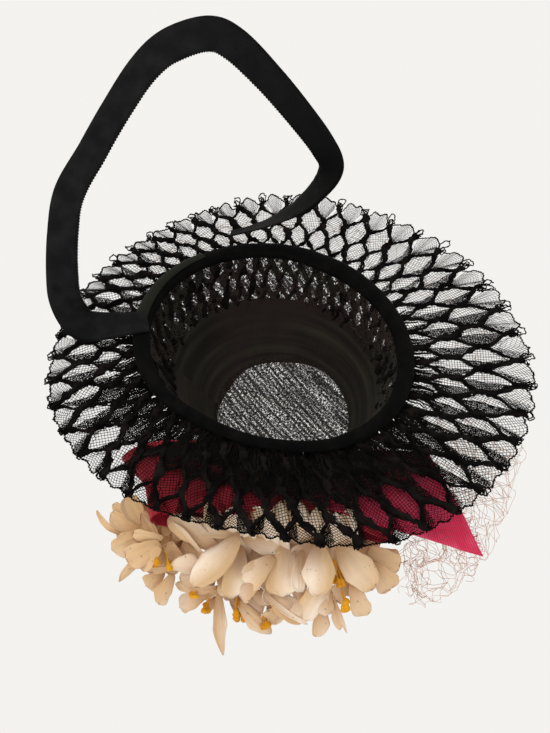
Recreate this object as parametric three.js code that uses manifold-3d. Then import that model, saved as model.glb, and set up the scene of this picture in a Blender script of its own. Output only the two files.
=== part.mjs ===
// A small tilt hat: a shallow mesh crown, a wide brim of smocked net, a bound head
// opening with a ribbon strap, a crimson bow, a cluster of cloth flowers and a scrap
// of veil. Millimetres. +Z is up when the hat is worn and -Y is its front.
// The origin is the centre of the head opening, at mid height of its band.

import * as THREE from 'three';
import { mergeVertices } from 'three/addons/utils/BufferGeometryUtils.js';
import Module from 'manifold-3d';

const wasm = await Module();
wasm.setup();

// Driving dimensions

const FIT = 0.3;
const FULL_TURN = Math.PI * 2;

// Outer edge of the head band and of the brim, in plan, measured from the origin
const PLAN = [
  { turn: 0, band: 87, brim: 133 },
  { turn: 30, band: 86, brim: 125 },
  { turn: 60, band: 83, brim: 126 },
  { turn: 90, band: 82, brim: 138 },
  { turn: 120, band: 82, brim: 146 },
  { turn: 150, band: 84, brim: 158 },
  { turn: 180, band: 88, brim: 166 },
  { turn: 210, band: 92, brim: 163 },
  { turn: 240, band: 89, brim: 154 },
  { turn: 270, band: 82, brim: 137 },
  { turn: 300, band: 81, brim: 141 },
  { turn: 330, band: 86, brim: 144 },
];

const BAND = { width: 11, height: 8, sides: 8, steps: 36 };

const CROWN = {
  wall: 1.2,
  inset: 9.5,
  height: 57,
  tipRadius: 42,
  tipX: -13,
  tipY: -14,
  steps: 28,
};

// The crown's profile: height as a share of its depth, and how far it has come in,
// where 0 is the rim, 1 the edge of the tip and 2 the middle of the tip
const CROWN_PROFILE = [
  { height: 0, inward: 0 },
  { height: 0.3, inward: 0.2 },
  { height: 0.6, inward: 0.46 },
  { height: 0.86, inward: 0.76 },
  { height: 0.97, inward: 0.98 },
  { height: 1.0, inward: 1.3 },
  { height: 1.03, inward: 1.65 },
  { height: 1.04, inward: 2 },
];

// The ribbon round the crown runs through these places in the profile's rows
const CROWN_BAND = { wall: 1, clear: 0.45, rows: [1.4, 2, 3, 3.8] };

// The brim is a lattice of smocked ropes. seat is the height of its underside at the
// band and lift the rise from there to the edge, twist the share of a column by which
// the inner crossings trail, and scallop the reach of the edge beyond the joints, which
// grows by swing towards the back.
const BRIM = {
  columns: 46,
  wall: 2,
  seat: 4.3,
  lift: 3,
  twist: 0.35,
  rope: 2.7,
  ropeSkew: 1.25,
  ropeTaper: 1.9,
  jointReach: 0.94,
  jointRise: 0.5,
  meanWidth: 62,
};
const SCALLOP = { reach: 4.5, swing: 6, shoulder: 0.8, shoulderPlace: 0.27, shoulderRise: 2, rise: 3 };

// Rows of crossings in the lattice, as a share of the brim's width
const BRIM_ROWS = { edge: 0.9, outer: 0.64, middle: 0.39, inner: 0.17 };

const STRAP = { wall: 1, width: 16.5, steps: 34 };

// The strap's centre line from the left of the band to its back. Its width runs across
// the line, square to the direction in STRAP_FACING, then leans about the line.
const STRAP_FACING = { x: 0, y: -0.643, z: -0.766 };
const STRAP_PATH = [
  { x: 78, y: -2, z: -5.5, width: 0.9, lean: 38 },
  { x: 90, y: -6, z: -6, width: 1, lean: 34 },
  { x: 103, y: -11, z: -7.5, width: 1.05, lean: 20 },
  { x: 116, y: -15, z: -12, width: 1.15, lean: 8 },
  { x: 124.5, y: -11, z: -25, width: 1.15, lean: 0 },
  { x: 127, y: -5, z: -40, width: 1.1, lean: 0 },
  { x: 127.5, y: 9, z: -62, width: 1.05, lean: 0 },
  { x: 124.5, y: 22, z: -82, width: 1.05, lean: 0 },
  { x: 113, y: 37, z: -101, width: 1, lean: 0 },
  { x: 101, y: 52, z: -120, width: 1, lean: 0 },
  { x: 87, y: 69, z: -138, width: 1.05, lean: 0 },
  { x: 73, y: 79, z: -148, width: 1.15, lean: 0 },
  { x: 53, y: 86, z: -153, width: 1.15, lean: 0 },
  { x: 38, y: 84, z: -149, width: 1.1, lean: 0 },
  { x: 18, y: 77, z: -135, width: 1, lean: 6 },
  { x: -1.5, y: 71, z: -117, width: 0.95, lean: 12 },
  { x: -17, y: 68, z: -99, width: 0.9, lean: 16 },
  { x: -24, y: 67, z: -85, width: 0.9, lean: 20 },
  { x: -20, y: 67, z: -69, width: 0.85, lean: 24 },
  { x: -9, y: 70, z: -49, width: 0.8, lean: 36 },
  { x: 6, y: 76, z: -29, width: 0.65, lean: 50 },
  { x: 22, y: 84, z: -11, width: 0.5, lean: 60 },
  { x: 36, y: 84, z: -4, width: 0.4, lean: 60 },
];

// The bow lies on the front of the brim. Each strip is a centre line with the width
// of the ribbon there. That width runs as BOW_SIDE.knot says, and where the ribbon
// swings right round, as BOW_SIDE.end says.
const BOW = { wall: 1, slant: 36 };
const BOW_SIDE = { knot: { x: 0.05, y: -0.97, z: 0.24 }, end: { x: -0.56, y: -0.72, z: 0.41 } };
const BOW_KNOT = { x: -22, y: -92, z: 19, halfX: 9, halfY: 15, halfZ: 11 };
const BOW_STRIPS = [
  {
    name: 'bow_tail_right',
    slant: BOW.slant,
    path: [
      { x: -27, y: -93, z: 12.5, width: 26 },
      { x: -55, y: -93, z: 11, width: 40 },
      { x: -82, y: -93, z: 14, width: 48 },
      { x: -111, y: -94, z: 20, width: 50 },
    ],
  },
  {
    name: 'bow_loop_left',
    slant: 0,
    path: [
      { x: -16, y: -93, z: 16, width: 26, swing: 0 },
      { x: 12, y: -95, z: 13.5, width: 40, swing: 0.2 },
      { x: 40, y: -101, z: 13.5, width: 46, swing: 0.6 },
      { x: 60, y: -105, z: 17, width: 46, swing: 0.95 },
      { x: 68, y: -107, z: 23, width: 46, swing: 1 },
      { x: 58, y: -105, z: 29, width: 44, swing: 0.9 },
      { x: 36, y: -100, z: 30, width: 40, swing: 0.5 },
      { x: 10, y: -95, z: 27, width: 34, swing: 0.1 },
      { x: -16, y: -93, z: 22, width: 26, swing: 0 },
    ],
  },
  {
    name: 'bow_loop_right',
    slant: 0,
    path: [
      { x: -27, y: -93, z: 17, width: 26 },
      { x: -50, y: -95, z: 17, width: 36 },
      { x: -70, y: -97, z: 19, width: 42 },
      { x: -80, y: -98, z: 24, width: 42 },
      { x: -70, y: -97, z: 29, width: 40 },
      { x: -50, y: -95, z: 29, width: 34 },
      { x: -27, y: -93, z: 23, width: 26 },
    ],
  },
  {
    name: 'bow_tail_left',
    slant: -BOW.slant / 2,
    path: [
      { x: -13, y: -98, z: 12, width: 22 },
      { x: 6, y: -106, z: 9.5, width: 34 },
      { x: 26, y: -114, z: 9.5, width: 40 },
    ],
  },
];

// Each flower stands on its calyx and points along its axis: turn about +Z from +X,
// rise above level. open is the angle between axis and petals.
const CALYX = { radius: 4, height: 9, sides: 6, foot: -3 };
const PETAL = {
  wall: 1,
  rows: 3,
  notch: 0.34,
  shoulder: 0.8,
  shoulderMost: 0.42,
  uneven: 0.14,
  leanAtHeart: 0.55,
  leanGain: 0.6,
  stagger: 0.37,
};
const FLOWERS = [
  { x: 9, y: -119, z: 39, turn: 88, rise: 71, petals: 6, length: 44, width: 21, open: 72 },
  { x: 63, y: -125, z: 44, turn: -9, rise: -16, petals: 6, length: 36, width: 18, open: 62 },
  { x: 45, y: -127, z: 46, turn: -75, rise: 51, petals: 6, length: 44, width: 20, open: 48 },
  { x: 4, y: -135, z: 67, turn: -104, rise: 51, petals: 6, length: 46, width: 21, open: 58 },
  { x: -19, y: -123, z: 49, turn: -123, rise: 66, petals: 6, length: 48, width: 21, open: 52 },
  { x: -39, y: -119, z: 35, turn: -108, rise: 45, petals: 6, length: 48, width: 21, open: 50 },
  { x: -60, y: -119, z: 34, turn: -152, rise: 45, petals: 6, length: 44, width: 20, open: 54 },
  { x: 18, y: -145, z: 77, turn: -100, rise: 56, petals: 5, length: 42, width: 17, open: 44 },
];
const STAMENS = { flowers: [2, 3, 4, 5, 6], sides: 6, sink: 1 };
const STAMEN_PROFILE = [
  { height: 0, radius: 1.2 },
  { height: 13.2, radius: 1.2 },
  { height: 18.7, radius: 3.4 },
  { height: 22, radius: 2.4 },
];

// The wires that carry the flowers part at a hub, from which two straws run back over
// the bow to the crown
const STEMS = { radius: 1.5, sides: 5, hub: { x: 18, y: -97, z: 40 } };
const STRAW_ENDS = [{ x: 23, y: -65, z: 37 }, { x: 33, y: -61, z: 34 }];

// The veil lies on the brim round the back of the crown and is crushed at the right
const VEIL = { wall: 1.2, along: 17, across: 5, crush: 4, crushFrom: 0.6, foldsAcross: 9, foldsAlong: 31 };
const VEIL_SECTIONS = [
  { turn: 60, near: 96, far: 117, nearZ: 8, farZ: 10 },
  { turn: 90, near: 95, far: 128, nearZ: 8, farZ: 10.5 },
  { turn: 120, near: 95, far: 134, nearZ: 8, farZ: 10.5 },
  { turn: 150, near: 98, far: 146, nearZ: 8, farZ: 11 },
  { turn: 180, near: 102, far: 158, nearZ: 8, farZ: 12 },
  { turn: 200, near: 110, far: 168, nearZ: 9, farZ: 14 },
  { turn: 214, near: 126, far: 178, nearZ: 15, farZ: 30 },
  { turn: 226, near: 142, far: 182, nearZ: 30, farZ: 52 },
  { turn: 236, near: 148, far: 166, nearZ: 48, farZ: 72 },
];

// Points

const point = (x, y, z) => new THREE.Vector3(x, y, z);

// A value of the plan table at any angle, on a smooth closed curve through its rows
function planValue(column, angle) {
  const count = PLAN.length;
  const place = (((angle / FULL_TURN) % 1) + 1) % 1 * count;
  const first = Math.floor(place);
  const share = place - first;
  const at = (offset) => PLAN[(first + offset + count) % count][column];
  const [before, start, end, after] = [at(-1), at(0), at(1), at(2)];
  const bend = (end - before) / 2 * share * (1 - share) ** 2;
  const pull = (after - start) / 2 * share ** 2 * (1 - share);
  const ease = share * share * (3 - 2 * share);
  return start + (end - start) * ease + bend - pull;
}

const bandEdge = (angle) => planValue('band', angle);
const brimEdge = (angle) => planValue('brim', angle);

// A value between the rows of a profile table
function between(rows, column, share) {
  const place = Math.min(Math.max(share, 0), 1) * (rows.length - 1);
  const first = Math.min(Math.floor(place), rows.length - 2);
  return THREE.MathUtils.lerp(rows[first][column], rows[first + 1][column], place - first);
}

// Closed meshes

// Welds the vertices, drops triangles without area and turns the faces outwards
function closedGeometry(position, index) {
  const raw = new THREE.BufferGeometry();
  raw.setAttribute('position', new THREE.Float32BufferAttribute(position, 3));
  raw.setIndex(index);
  const merged = mergeVertices(raw, 1e-4);
  const corners = merged.getAttribute('position');
  const source = Array.from(merged.getIndex().array);
  const kept = [];
  let volume = 0;
  const [a, b, c] = [point(0, 0, 0), point(0, 0, 0), point(0, 0, 0)];
  for (let i = 0; i < source.length; i += 3) {
    const [p, q, r] = source.slice(i, i + 3);
    if (p === q || q === r || r === p) continue;
    kept.push([p, q, r]);
    a.fromBufferAttribute(corners, p);
    b.fromBufferAttribute(corners, q);
    c.fromBufferAttribute(corners, r);
    volume += a.dot(b.cross(c));
  }
  merged.setIndex(kept.flatMap(([p, q, r]) => (volume < 0 ? [p, r, q] : [p, q, r])));
  return merged;
}

// A sheet with thickness: surface(u, v) gives its middle, both shares from 0 to 1.
// wrap closes it on itself along u, and open(i, j) names the cells left out.
function sheetGeometry({ along, across, wrap = false, wall, surface, pole, open = () => false }) {
  const columns = wrap ? along : along + 1;
  const step = 1e-3;
  const normal = (u, v) => {
    const du = surface(u + step, v).sub(surface(u - step, v));
    const low = Math.max(v - step, 0);
    const high = Math.min(v + step, 1);
    const dv = surface(u, high).sub(surface(u, low));
    const cross = du.cross(dv);
    return cross.length() < 1e-9 ? pole.clone() : cross.normalize();
  };
  const position = [];
  for (const side of [0.5, -0.5]) {
    for (let i = 0; i < columns; i += 1) {
      for (let j = 0; j <= across; j += 1) {
        const u = i / along;
        const v = j / across;
        const corner = surface(u, v).addScaledVector(normal(u, v), side * wall);
        position.push(corner.x, corner.y, corner.z);
      }
    }
  }
  const id = (side, i, j) => (side * columns + (i % columns)) * (across + 1) + j;
  const filled = (i, j) => {
    if (j < 0 || j >= across) return false;
    if (!wrap && (i < 0 || i >= along)) return false;
    return !open((i + along) % along, j);
  };
  const index = [];
  const quad = (p, q, r, s) => index.push(p, q, r, p, r, s);
  for (let i = 0; i < along; i += 1) {
    for (let j = 0; j < across; j += 1) {
      if (!filled(i, j)) continue;
      quad(id(0, i, j), id(0, i + 1, j), id(0, i + 1, j + 1), id(0, i, j + 1));
      quad(id(1, i, j), id(1, i, j + 1), id(1, i + 1, j + 1), id(1, i + 1, j));
      if (!filled(i, j - 1)) quad(id(0, i, j), id(1, i, j), id(1, i + 1, j), id(0, i + 1, j));
      if (!filled(i, j + 1)) {
        quad(id(0, i, j + 1), id(0, i + 1, j + 1), id(1, i + 1, j + 1), id(1, i, j + 1));
      }
      if (!filled(i - 1, j)) quad(id(0, i, j), id(0, i, j + 1), id(1, i, j + 1), id(1, i, j));
      if (!filled(i + 1, j)) {
        quad(id(0, i + 1, j), id(1, i + 1, j), id(1, i + 1, j + 1), id(0, i + 1, j + 1));
      }
    }
  }
  return closedGeometry(position, index);
}

// A roll that closes on itself both ways: surface(u, v) is its skin
function rollGeometry({ steps, sides, surface }) {
  const position = [];
  const index = [];
  for (let i = 0; i < steps; i += 1) {
    for (let j = 0; j < sides; j += 1) {
      const corner = surface(i / steps, j / sides);
      position.push(corner.x, corner.y, corner.z);
      const [a, b] = [i * sides + j, ((i + 1) % steps) * sides + j];
      const [c, d] = [((i + 1) % steps) * sides + ((j + 1) % sides), i * sides + ((j + 1) % sides)];
      index.push(a, b, c, a, c, d);
    }
  }
  return closedGeometry(position, index);
}

// A plate of the given polygons: each corner has a top and a bottom point, and every
// edge that only one polygon has gets a wall
function plateGeometry(corners, polygons) {
  const position = [];
  for (const { top } of corners) position.push(top.x, top.y, top.z);
  for (const { bottom } of corners) position.push(bottom.x, bottom.y, bottom.z);
  const under = corners.length;
  const index = [];
  const edges = new Set();
  for (const polygon of polygons) {
    for (let i = 1; i < polygon.length - 1; i += 1) {
      const [a, b, c] = [polygon[0], polygon[i], polygon[i + 1]];
      index.push(a, b, c, a + under, c + under, b + under);
    }
    polygon.forEach((a, i) => edges.add(`${a},${polygon[(i + 1) % polygon.length]}`));
  }
  for (const edge of edges) {
    const [a, b] = edge.split(',').map(Number);
    if (edges.has(`${b},${a}`)) continue;
    index.push(a, a + under, b + under, a, b + under, b);
  }
  return closedGeometry(position, index);
}

// Joins and cuts

function solidOf(geometry) {
  const bare = geometry.clone();
  bare.deleteAttribute('normal');
  bare.deleteAttribute('uv');
  const merged = mergeVertices(bare, 1e-4);
  return new wasm.Manifold(new wasm.Mesh({
    numProp: 3,
    vertProperties: new Float32Array(merged.getAttribute('position').array),
    triVerts: new Uint32Array(merged.getIndex().array),
  }));
}

function geometryOf(solid) {
  const mesh = solid.getMesh();
  return closedGeometry(Array.from(mesh.vertProperties), Array.from(mesh.triVerts));
}

// The largest body that is left of a solid after the cutters are taken from it
function carve(solid, cutters) {
  const rest = cutters.reduce((body, cutter) => body.subtract(cutter), solid);
  return rest.decompose().reduce((best, body) => (body.volume() > best.volume() ? body : best));
}

// The head band: an oval roll round the opening

function headBand() {
  const surface = (u, v) => {
    const angle = u * FULL_TURN;
    const section = v * FULL_TURN;
    const middle = bandEdge(angle) - BAND.width / 2;
    const radius = middle + Math.cos(section) * BAND.width / 2;
    return point(
      Math.cos(angle) * radius,
      Math.sin(angle) * radius,
      Math.sin(section) * BAND.height / 2,
    );
  };
  return rollGeometry({ steps: BAND.steps, sides: BAND.sides, surface });
}

// The crown: a wall that leans in to a small tip set forward of the middle

function crownPoint(angle, share) {
  const inward = between(CROWN_PROFILE, 'inward', share);
  const height = between(CROWN_PROFILE, 'height', share) * CROWN.height;
  const rimRadius = bandEdge(angle) - CROWN.inset;
  const rim = point(Math.cos(angle) * rimRadius, Math.sin(angle) * rimRadius, 0);
  const tip = point(
    CROWN.tipX + Math.cos(angle) * CROWN.tipRadius,
    CROWN.tipY + Math.sin(angle) * CROWN.tipRadius,
    0,
  );
  const centre = point(CROWN.tipX, CROWN.tipY, 0);
  const plan = inward < 1 ? rim.lerp(tip, inward) : tip.lerp(centre, inward - 1);
  return plan.setZ(BAND.height / 2 + FIT + height);
}

function crown() {
  return sheetGeometry({
    along: CROWN.steps,
    across: CROWN_PROFILE.length - 1,
    wrap: true,
    wall: CROWN.wall,
    pole: point(0, 0, 1),
    surface: (u, v) => crownPoint(u * FULL_TURN, v),
  });
}

// The same surface moved out along its own slope
function crownSkin(angle, share, lift) {
  const step = 1e-3;
  const along = crownPoint(angle + step, share).sub(crownPoint(angle - step, share));
  const up = crownPoint(angle, share + step).sub(crownPoint(angle, share - step));
  return crownPoint(angle, share).addScaledVector(along.cross(up).normalize(), lift);
}

function crownBand() {
  const lift = CROWN.wall / 2 + CROWN_BAND.clear + CROWN_BAND.wall / 2;
  const rows = CROWN_BAND.rows.map((row) => ({ share: row / (CROWN_PROFILE.length - 1) }));
  return sheetGeometry({
    along: CROWN.steps,
    across: rows.length - 1,
    wrap: true,
    wall: CROWN_BAND.wall,
    pole: point(0, 0, 1),
    surface: (u, v) => crownSkin(u * FULL_TURN, between(rows, 'share', v), lift),
  });
}

// The brim: a lattice of smocked ropes with two rows of open diamonds, an inner row
// that is pulled shut, and scallops at the edge

function brimPoint(column, share, rise = 0) {
  const turn = column + BRIM.twist * (1 - share);
  const angle = (turn / BRIM.columns) * FULL_TURN;
  const start = bandEdge(angle) - CROWN.inset + CROWN.wall / 2 + 2 * FIT;
  const radius = start + (brimEdge(angle) - start) * share;
  const height = BRIM.seat + BRIM.lift * Math.max(share - BRIM_ROWS.inner, 0) + rise;
  return point(Math.cos(angle) * radius, Math.sin(angle) * radius, height);
}

function brim() {
  const corners = [];
  const polygons = [];
  const known = new Map();
  const add = (name, column, share, rise = 0) => {
    const key = `${name}:${(column + BRIM.columns) % BRIM.columns}`;
    if (!known.has(key)) {
      known.set(key, corners.length);
      corners.push({
        top: brimPoint(column, share, rise + BRIM.wall),
        bottom: brimPoint(column, share, rise),
      });
    }
    return known.get(key);
  };
  const rows = BRIM_ROWS;
  const joint = (column) => add('joint', column, BRIM.jointReach, BRIM.jointRise);
  const outer = (column) => add('outer', column, rows.outer);
  const middle = (column) => add('middle', column, rows.middle);
  const inner = (column) => add('inner', column, rows.inner);
  const rim = (column) => add('rim', column, 0);

  // An open diamond between four crossings, its hole drawn in by half a rope
  const openDiamond = (name, column, ends, [out, left, deep, right]) => {
    const [outShare, sideShare, deepShare] = ends;
    const angle = (column / BRIM.columns) * FULL_TURN;
    const width = brimEdge(angle) - bandEdge(angle) + CROWN.inset;
    const pitch = (bandEdge(angle) + width * sideShare) * FULL_TURN / BRIM.columns;
    const pull = BRIM.rope / pitch * BRIM.ropeSkew;
    const draw = BRIM.rope / width * BRIM.ropeTaper;
    const hole = [
      add(`${name}Out`, column, outShare - draw),
      add(`${name}Left`, column - 0.5 + pull, sideShare),
      add(`${name}Deep`, column, deepShare + draw),
      add(`${name}Right`, column + 0.5 - pull, sideShare),
    ];
    const ring = [out, left, deep, right];
    ring.forEach((corner, i) => {
      const next = (i + 1) % 4;
      polygons.push([corner, ring[next], hole[next], hole[i]]);
    });
  };

  for (let column = 0; column < BRIM.columns; column += 1) {
    const half = column + 0.5;
    openDiamond(
      'first',
      half,
      [rows.edge, rows.outer, rows.middle],
      [joint(half), outer(column), middle(half), outer(column + 1)],
    );
    openDiamond(
      'second',
      column,
      [rows.outer, rows.middle, rows.inner],
      [outer(column), middle(column - 0.5), inner(column), middle(half)],
    );
    polygons.push([middle(half), inner(column), rim(half), inner(column + 1)]);
    polygons.push([inner(column), rim(column - 0.5), rim(half)]);
    const angle = (column / BRIM.columns) * FULL_TURN;
    const reach = SCALLOP.reach + SCALLOP.swing * Math.sin(angle);
    const swell = (share) => BRIM.jointReach + reach * share / BRIM.meanWidth;
    const shoulder = (side) => column + side * SCALLOP.shoulderPlace;
    polygons.push([
      outer(column),
      joint(column + 0.5),
      add('scallopAfter', shoulder(1), swell(SCALLOP.shoulder), SCALLOP.shoulderRise),
      add('scallopPeak', column, swell(1), SCALLOP.rise),
      add('scallopBefore', shoulder(-1), swell(SCALLOP.shoulder), SCALLOP.shoulderRise),
      joint(column - 0.5),
    ]);
  }
  return plateGeometry(corners, polygons);
}

// Ribbons: a flat strip carried along a smooth line. Each row of the path holds the
// place, the width there and the direction that the width takes.

function ribbonGeometry({ path, wall, steps, slant = 0, grow = 0 }) {
  const curve = new THREE.CatmullRomCurve3(path.map(({ x, y, z }) => point(x, y, z)));
  const last = path.length - 1;
  const surface = (u, v) => {
    const share = Math.min(Math.max(u, 0), 1);
    const first = Math.min(Math.floor(share * last), last - 1);
    const part = share * last - first;
    const tangent = curve.getTangent(share);
    const side = path[first].side.clone().lerp(path[first + 1].side, part);
    side.addScaledVector(tangent, -side.dot(tangent)).normalize();
    const width = THREE.MathUtils.lerp(path[first].width, path[first + 1].width, part);
    const centre = curve.getPoint(share).addScaledVector(tangent, u - share);
    centre.addScaledVector(tangent, slant * (v - 0.5) * share ** 3);
    return centre.addScaledVector(side, (v - 0.5) * (width + 2 * grow));
  };
  return sheetGeometry({ along: steps, across: 1, wall: wall + 2 * grow, surface });
}

function strap() {
  const facing = point(STRAP_FACING.x, STRAP_FACING.y, STRAP_FACING.z);
  const curve = new THREE.CatmullRomCurve3(STRAP_PATH.map(({ x, y, z }) => point(x, y, z)));
  const path = STRAP_PATH.map((row, i) => {
    const tangent = curve.getTangent(i / (STRAP_PATH.length - 1));
    const across = tangent.clone().cross(facing).normalize();
    const side = across.applyAxisAngle(tangent, THREE.MathUtils.degToRad(row.lean));
    return { ...row, width: row.width * STRAP.width, side };
  });
  return ribbonGeometry({ path, wall: STRAP.wall, steps: STRAP.steps });
}

// The bow: an oval knot, two loops and two tails cut on the slant

function bowKnot(grow = 0) {
  const ball = new THREE.SphereGeometry(1, 10, 6);
  ball.scale(BOW_KNOT.halfX + grow, BOW_KNOT.halfY + grow, BOW_KNOT.halfZ + grow);
  ball.translate(BOW_KNOT.x, BOW_KNOT.y, BOW_KNOT.z);
  return ball;
}

function bowStrip({ path, slant }, grow = 0) {
  const [atKnot, atEnd] = [BOW_SIDE.knot, BOW_SIDE.end].map(({ x, y, z }) => point(x, y, z));
  const rows = path.map((row) => ({ ...row, side: atKnot.clone().lerp(atEnd, row.swing ?? 0) }));
  return ribbonGeometry({ path: rows, wall: BOW.wall, steps: 2 * (path.length - 1), slant, grow });
}

// Flowers: one cupped sheet, notched between its petals, on a small calyx. Every petal
// has four columns: its notch, a shoulder, its tip and the other shoulder.

function corollaGeometry({ petals, length, width, open }, number, grow = 0) {
  const lean = (distance) => (
    THREE.MathUtils.degToRad(open * (PETAL.leanAtHeart + PETAL.leanGain * distance / length))
  );
  const centreLine = (distance) => {
    const slices = 8;
    const place = { out: 0, up: 0 };
    for (let i = 0; i < slices; i += 1) {
      const angle = lean(distance * (i + 0.5) / slices);
      place.out += Math.sin(angle) * distance / slices;
      place.up += Math.cos(angle) * distance / slices;
    }
    return place;
  };
  const petalAngle = FULL_TURN / petals;
  const shoulderOut = centreLine(PETAL.shoulder * length).out;
  const half = Math.min(Math.atan2(width / 2, shoulderOut) / petalAngle, PETAL.shoulderMost);
  const columns = [
    { place: 0, reach: PETAL.notch },
    { place: 0.5 - half, reach: PETAL.shoulder },
    { place: 0.5, reach: 1 },
    { place: 0.5 + half, reach: PETAL.shoulder },
    { place: 1, reach: PETAL.notch },
  ];
  const surface = (u, v) => {
    const turns = (u + 1) * petals;
    const petal = Math.floor(turns) % petals;
    const share = turns % 1;
    const place = petal + between(columns, 'place', share) + PETAL.stagger * number;
    const angle = place * petalAngle;
    const short = PETAL.uneven * ((petal * 5 + number * 3) % 4) / 3;
    const full = 1 - short * Math.sin(Math.PI * share);
    const reach = between(columns, 'reach', share) * full * length + grow;
    const { out, up } = centreLine(Math.max(v, 0) * reach);
    return point(Math.cos(angle) * out, Math.sin(angle) * out, up);
  };
  return sheetGeometry({
    along: 4 * petals,
    across: PETAL.rows,
    wrap: true,
    wall: PETAL.wall + 2 * grow,
    pole: point(0, 0, 1),
    surface,
  });
}

function flowerFrame({ x, y, z, turn, rise }) {
  const frame = new THREE.Object3D();
  frame.rotation.order = 'ZYX';
  frame.rotation.set(
    0,
    THREE.MathUtils.degToRad(90 - rise),
    THREE.MathUtils.degToRad(turn),
  );
  frame.position.set(x, y, z);
  frame.updateMatrixWorld(true);
  return frame.matrixWorld;
}

function flowerSolid(flower, number, grow = 0) {
  const calyx = new THREE.ConeGeometry(CALYX.radius + grow, CALYX.height + 2 * grow, CALYX.sides);
  calyx.rotateX(-Math.PI / 2);
  calyx.translate(0, 0, CALYX.height / 2 + CALYX.foot);
  const whole = solidOf(corollaGeometry(flower, number, grow)).add(solidOf(calyx));
  return whole.transform(flowerFrame(flower).elements);
}

function stamenSolid(flower, grow = 0) {
  const end = STAMEN_PROFILE[STAMEN_PROFILE.length - 1].height;
  const profile = STAMEN_PROFILE.map(({ height, radius }) => {
    const reach = height === 0 ? -grow : grow;
    return new THREE.Vector2(radius + grow, height === end || height === 0 ? height + reach : height);
  });
  const closed = [
    new THREE.Vector2(0, -grow),
    ...profile,
    new THREE.Vector2(0, end + grow),
  ];
  const lathe = new THREE.LatheGeometry(closed, STAMENS.sides);
  lathe.rotateX(Math.PI / 2);
  lathe.translate(0, 0, CALYX.height + CALYX.foot - STAMENS.sink);
  return solidOf(closedGeometry(
    Array.from(lathe.getAttribute('position').array),
    Array.from(lathe.getIndex().array),
  )).transform(flowerFrame(flower).elements);
}

// Stems: straight wires from the hub to each calyx, and straws to the crown

function stemSolid(grow = 0) {
  const hub = point(STEMS.hub.x, STEMS.hub.y, STEMS.hub.z);
  const calyxTips = FLOWERS.map((flower) => (
    point(0, 0, CALYX.foot).applyMatrix4(flowerFrame(flower))
  ));
  const strawEnds = STRAW_ENDS.map(({ x, y, z }) => point(x, y, z));
  const rods = [...calyxTips, ...strawEnds].map((end) => {
    const way = end.clone().sub(hub);
    const radius = STEMS.radius + grow;
    const rod = new THREE.CylinderGeometry(radius, radius, way.length() + 2 * grow, STEMS.sides);
    const middle = hub.clone().lerp(end, 0.5);
    rod.applyQuaternion(new THREE.Quaternion().setFromUnitVectors(point(0, 1, 0), way.normalize()));
    rod.translate(middle.x, middle.y, middle.z);
    return solidOf(rod);
  });
  return rods.reduce((whole, rod) => whole.add(rod));
}

// The veil: a crumpled sheet of coarse net with every second mesh cut through

function veilGeometry() {
  const rows = VEIL_SECTIONS;
  const surface = (u, v) => {
    const share = Math.min(Math.max(u, 0), 1);
    const angle = THREE.MathUtils.degToRad(between(rows, 'turn', share));
    const radius = THREE.MathUtils.lerp(between(rows, 'near', share), between(rows, 'far', share), v);
    const height = THREE.MathUtils.lerp(between(rows, 'nearZ', share), between(rows, 'farZ', share), v);
    const crush = VEIL.crush * Math.max(share - VEIL.crushFrom, 0) / (1 - VEIL.crushFrom);
    const fold = crush * Math.sin(v * VEIL.foldsAcross + share * VEIL.foldsAlong);
    return point(Math.cos(angle) * radius, Math.sin(angle) * radius, height + fold);
  };
  const open = (i, j) => i % 2 === 1 && j % 2 === 1;
  return sheetGeometry({ along: VEIL.along, across: VEIL.across, wall: VEIL.wall, surface, open });
}

// Room that the trimmings leave free: the brim as a smooth slab between these shares of
// its width, and the crown with its ribbon

const ROOM = { from: 0.02, to: 1.17 };

function brimRoom() {
  return solidOf(sheetGeometry({
    along: 2 * BRIM.columns,
    across: 4,
    wrap: true,
    wall: BRIM.wall + 2 * FIT,
    surface: (u, v) => {
      const share = THREE.MathUtils.lerp(ROOM.from, ROOM.to, v);
      return brimPoint(u * BRIM.columns, share, BRIM.wall / 2);
    },
  }));
}

function crownRoom() {
  const lift = CROWN.wall / 2 + CROWN_BAND.clear + CROWN_BAND.wall + FIT;
  const skin = (u, v) => crownSkin(u * FULL_TURN, v, lift / 2 - CROWN.wall / 4);
  return solidOf(sheetGeometry({
    along: CROWN.steps,
    across: CROWN_PROFILE.length - 1,
    wrap: true,
    wall: lift + CROWN.wall / 2,
    pole: point(0, 0, 1),
    surface: (u, v) => (v > 0.999 ? crownPoint(u * FULL_TURN, v) : skin(u, v)),
  }));
}

// Materials and the finished group

const FINISHES = {
  crown: { color: 0x141312, roughness: 0.85 },
  crimson: { color: 0x7d0f2b, roughness: 0.55 },
  band: { color: 0x161616, roughness: 0.7 },
  net: { color: 0x100f0f, roughness: 0.8 },
  petal: { color: 0xe8d5bd, roughness: 0.7 },
  stamen: { color: 0xe0a010, roughness: 0.6 },
  straw: { color: 0x9c7a4c, roughness: 0.8 },
  veil: { color: 0xb08d7a, roughness: 0.8 },
};

const hat = new THREE.Group();

function addPiece(name, geometry, finish) {
  const material = new THREE.MeshStandardMaterial({ metalness: 0, ...FINISHES[finish] });
  const mesh = new THREE.Mesh(geometry, material);
  mesh.name = name;
  hat.add(mesh);
}

addPiece('head_band', headBand(), 'band');
addPiece('crown', crown(), 'crown');
addPiece('crown_band', crownBand(), 'crimson');
addPiece('brim', brim(), 'net');
addPiece('strap', strap(), 'band');

// The trimmings are fitted one after another: each gives way to those before it
const taken = [brimRoom(), crownRoom()];

function addTrimming(name, solid, grown, finish) {
  addPiece(name, geometryOf(carve(solid, taken)), finish);
  taken.push(grown);
}

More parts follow.
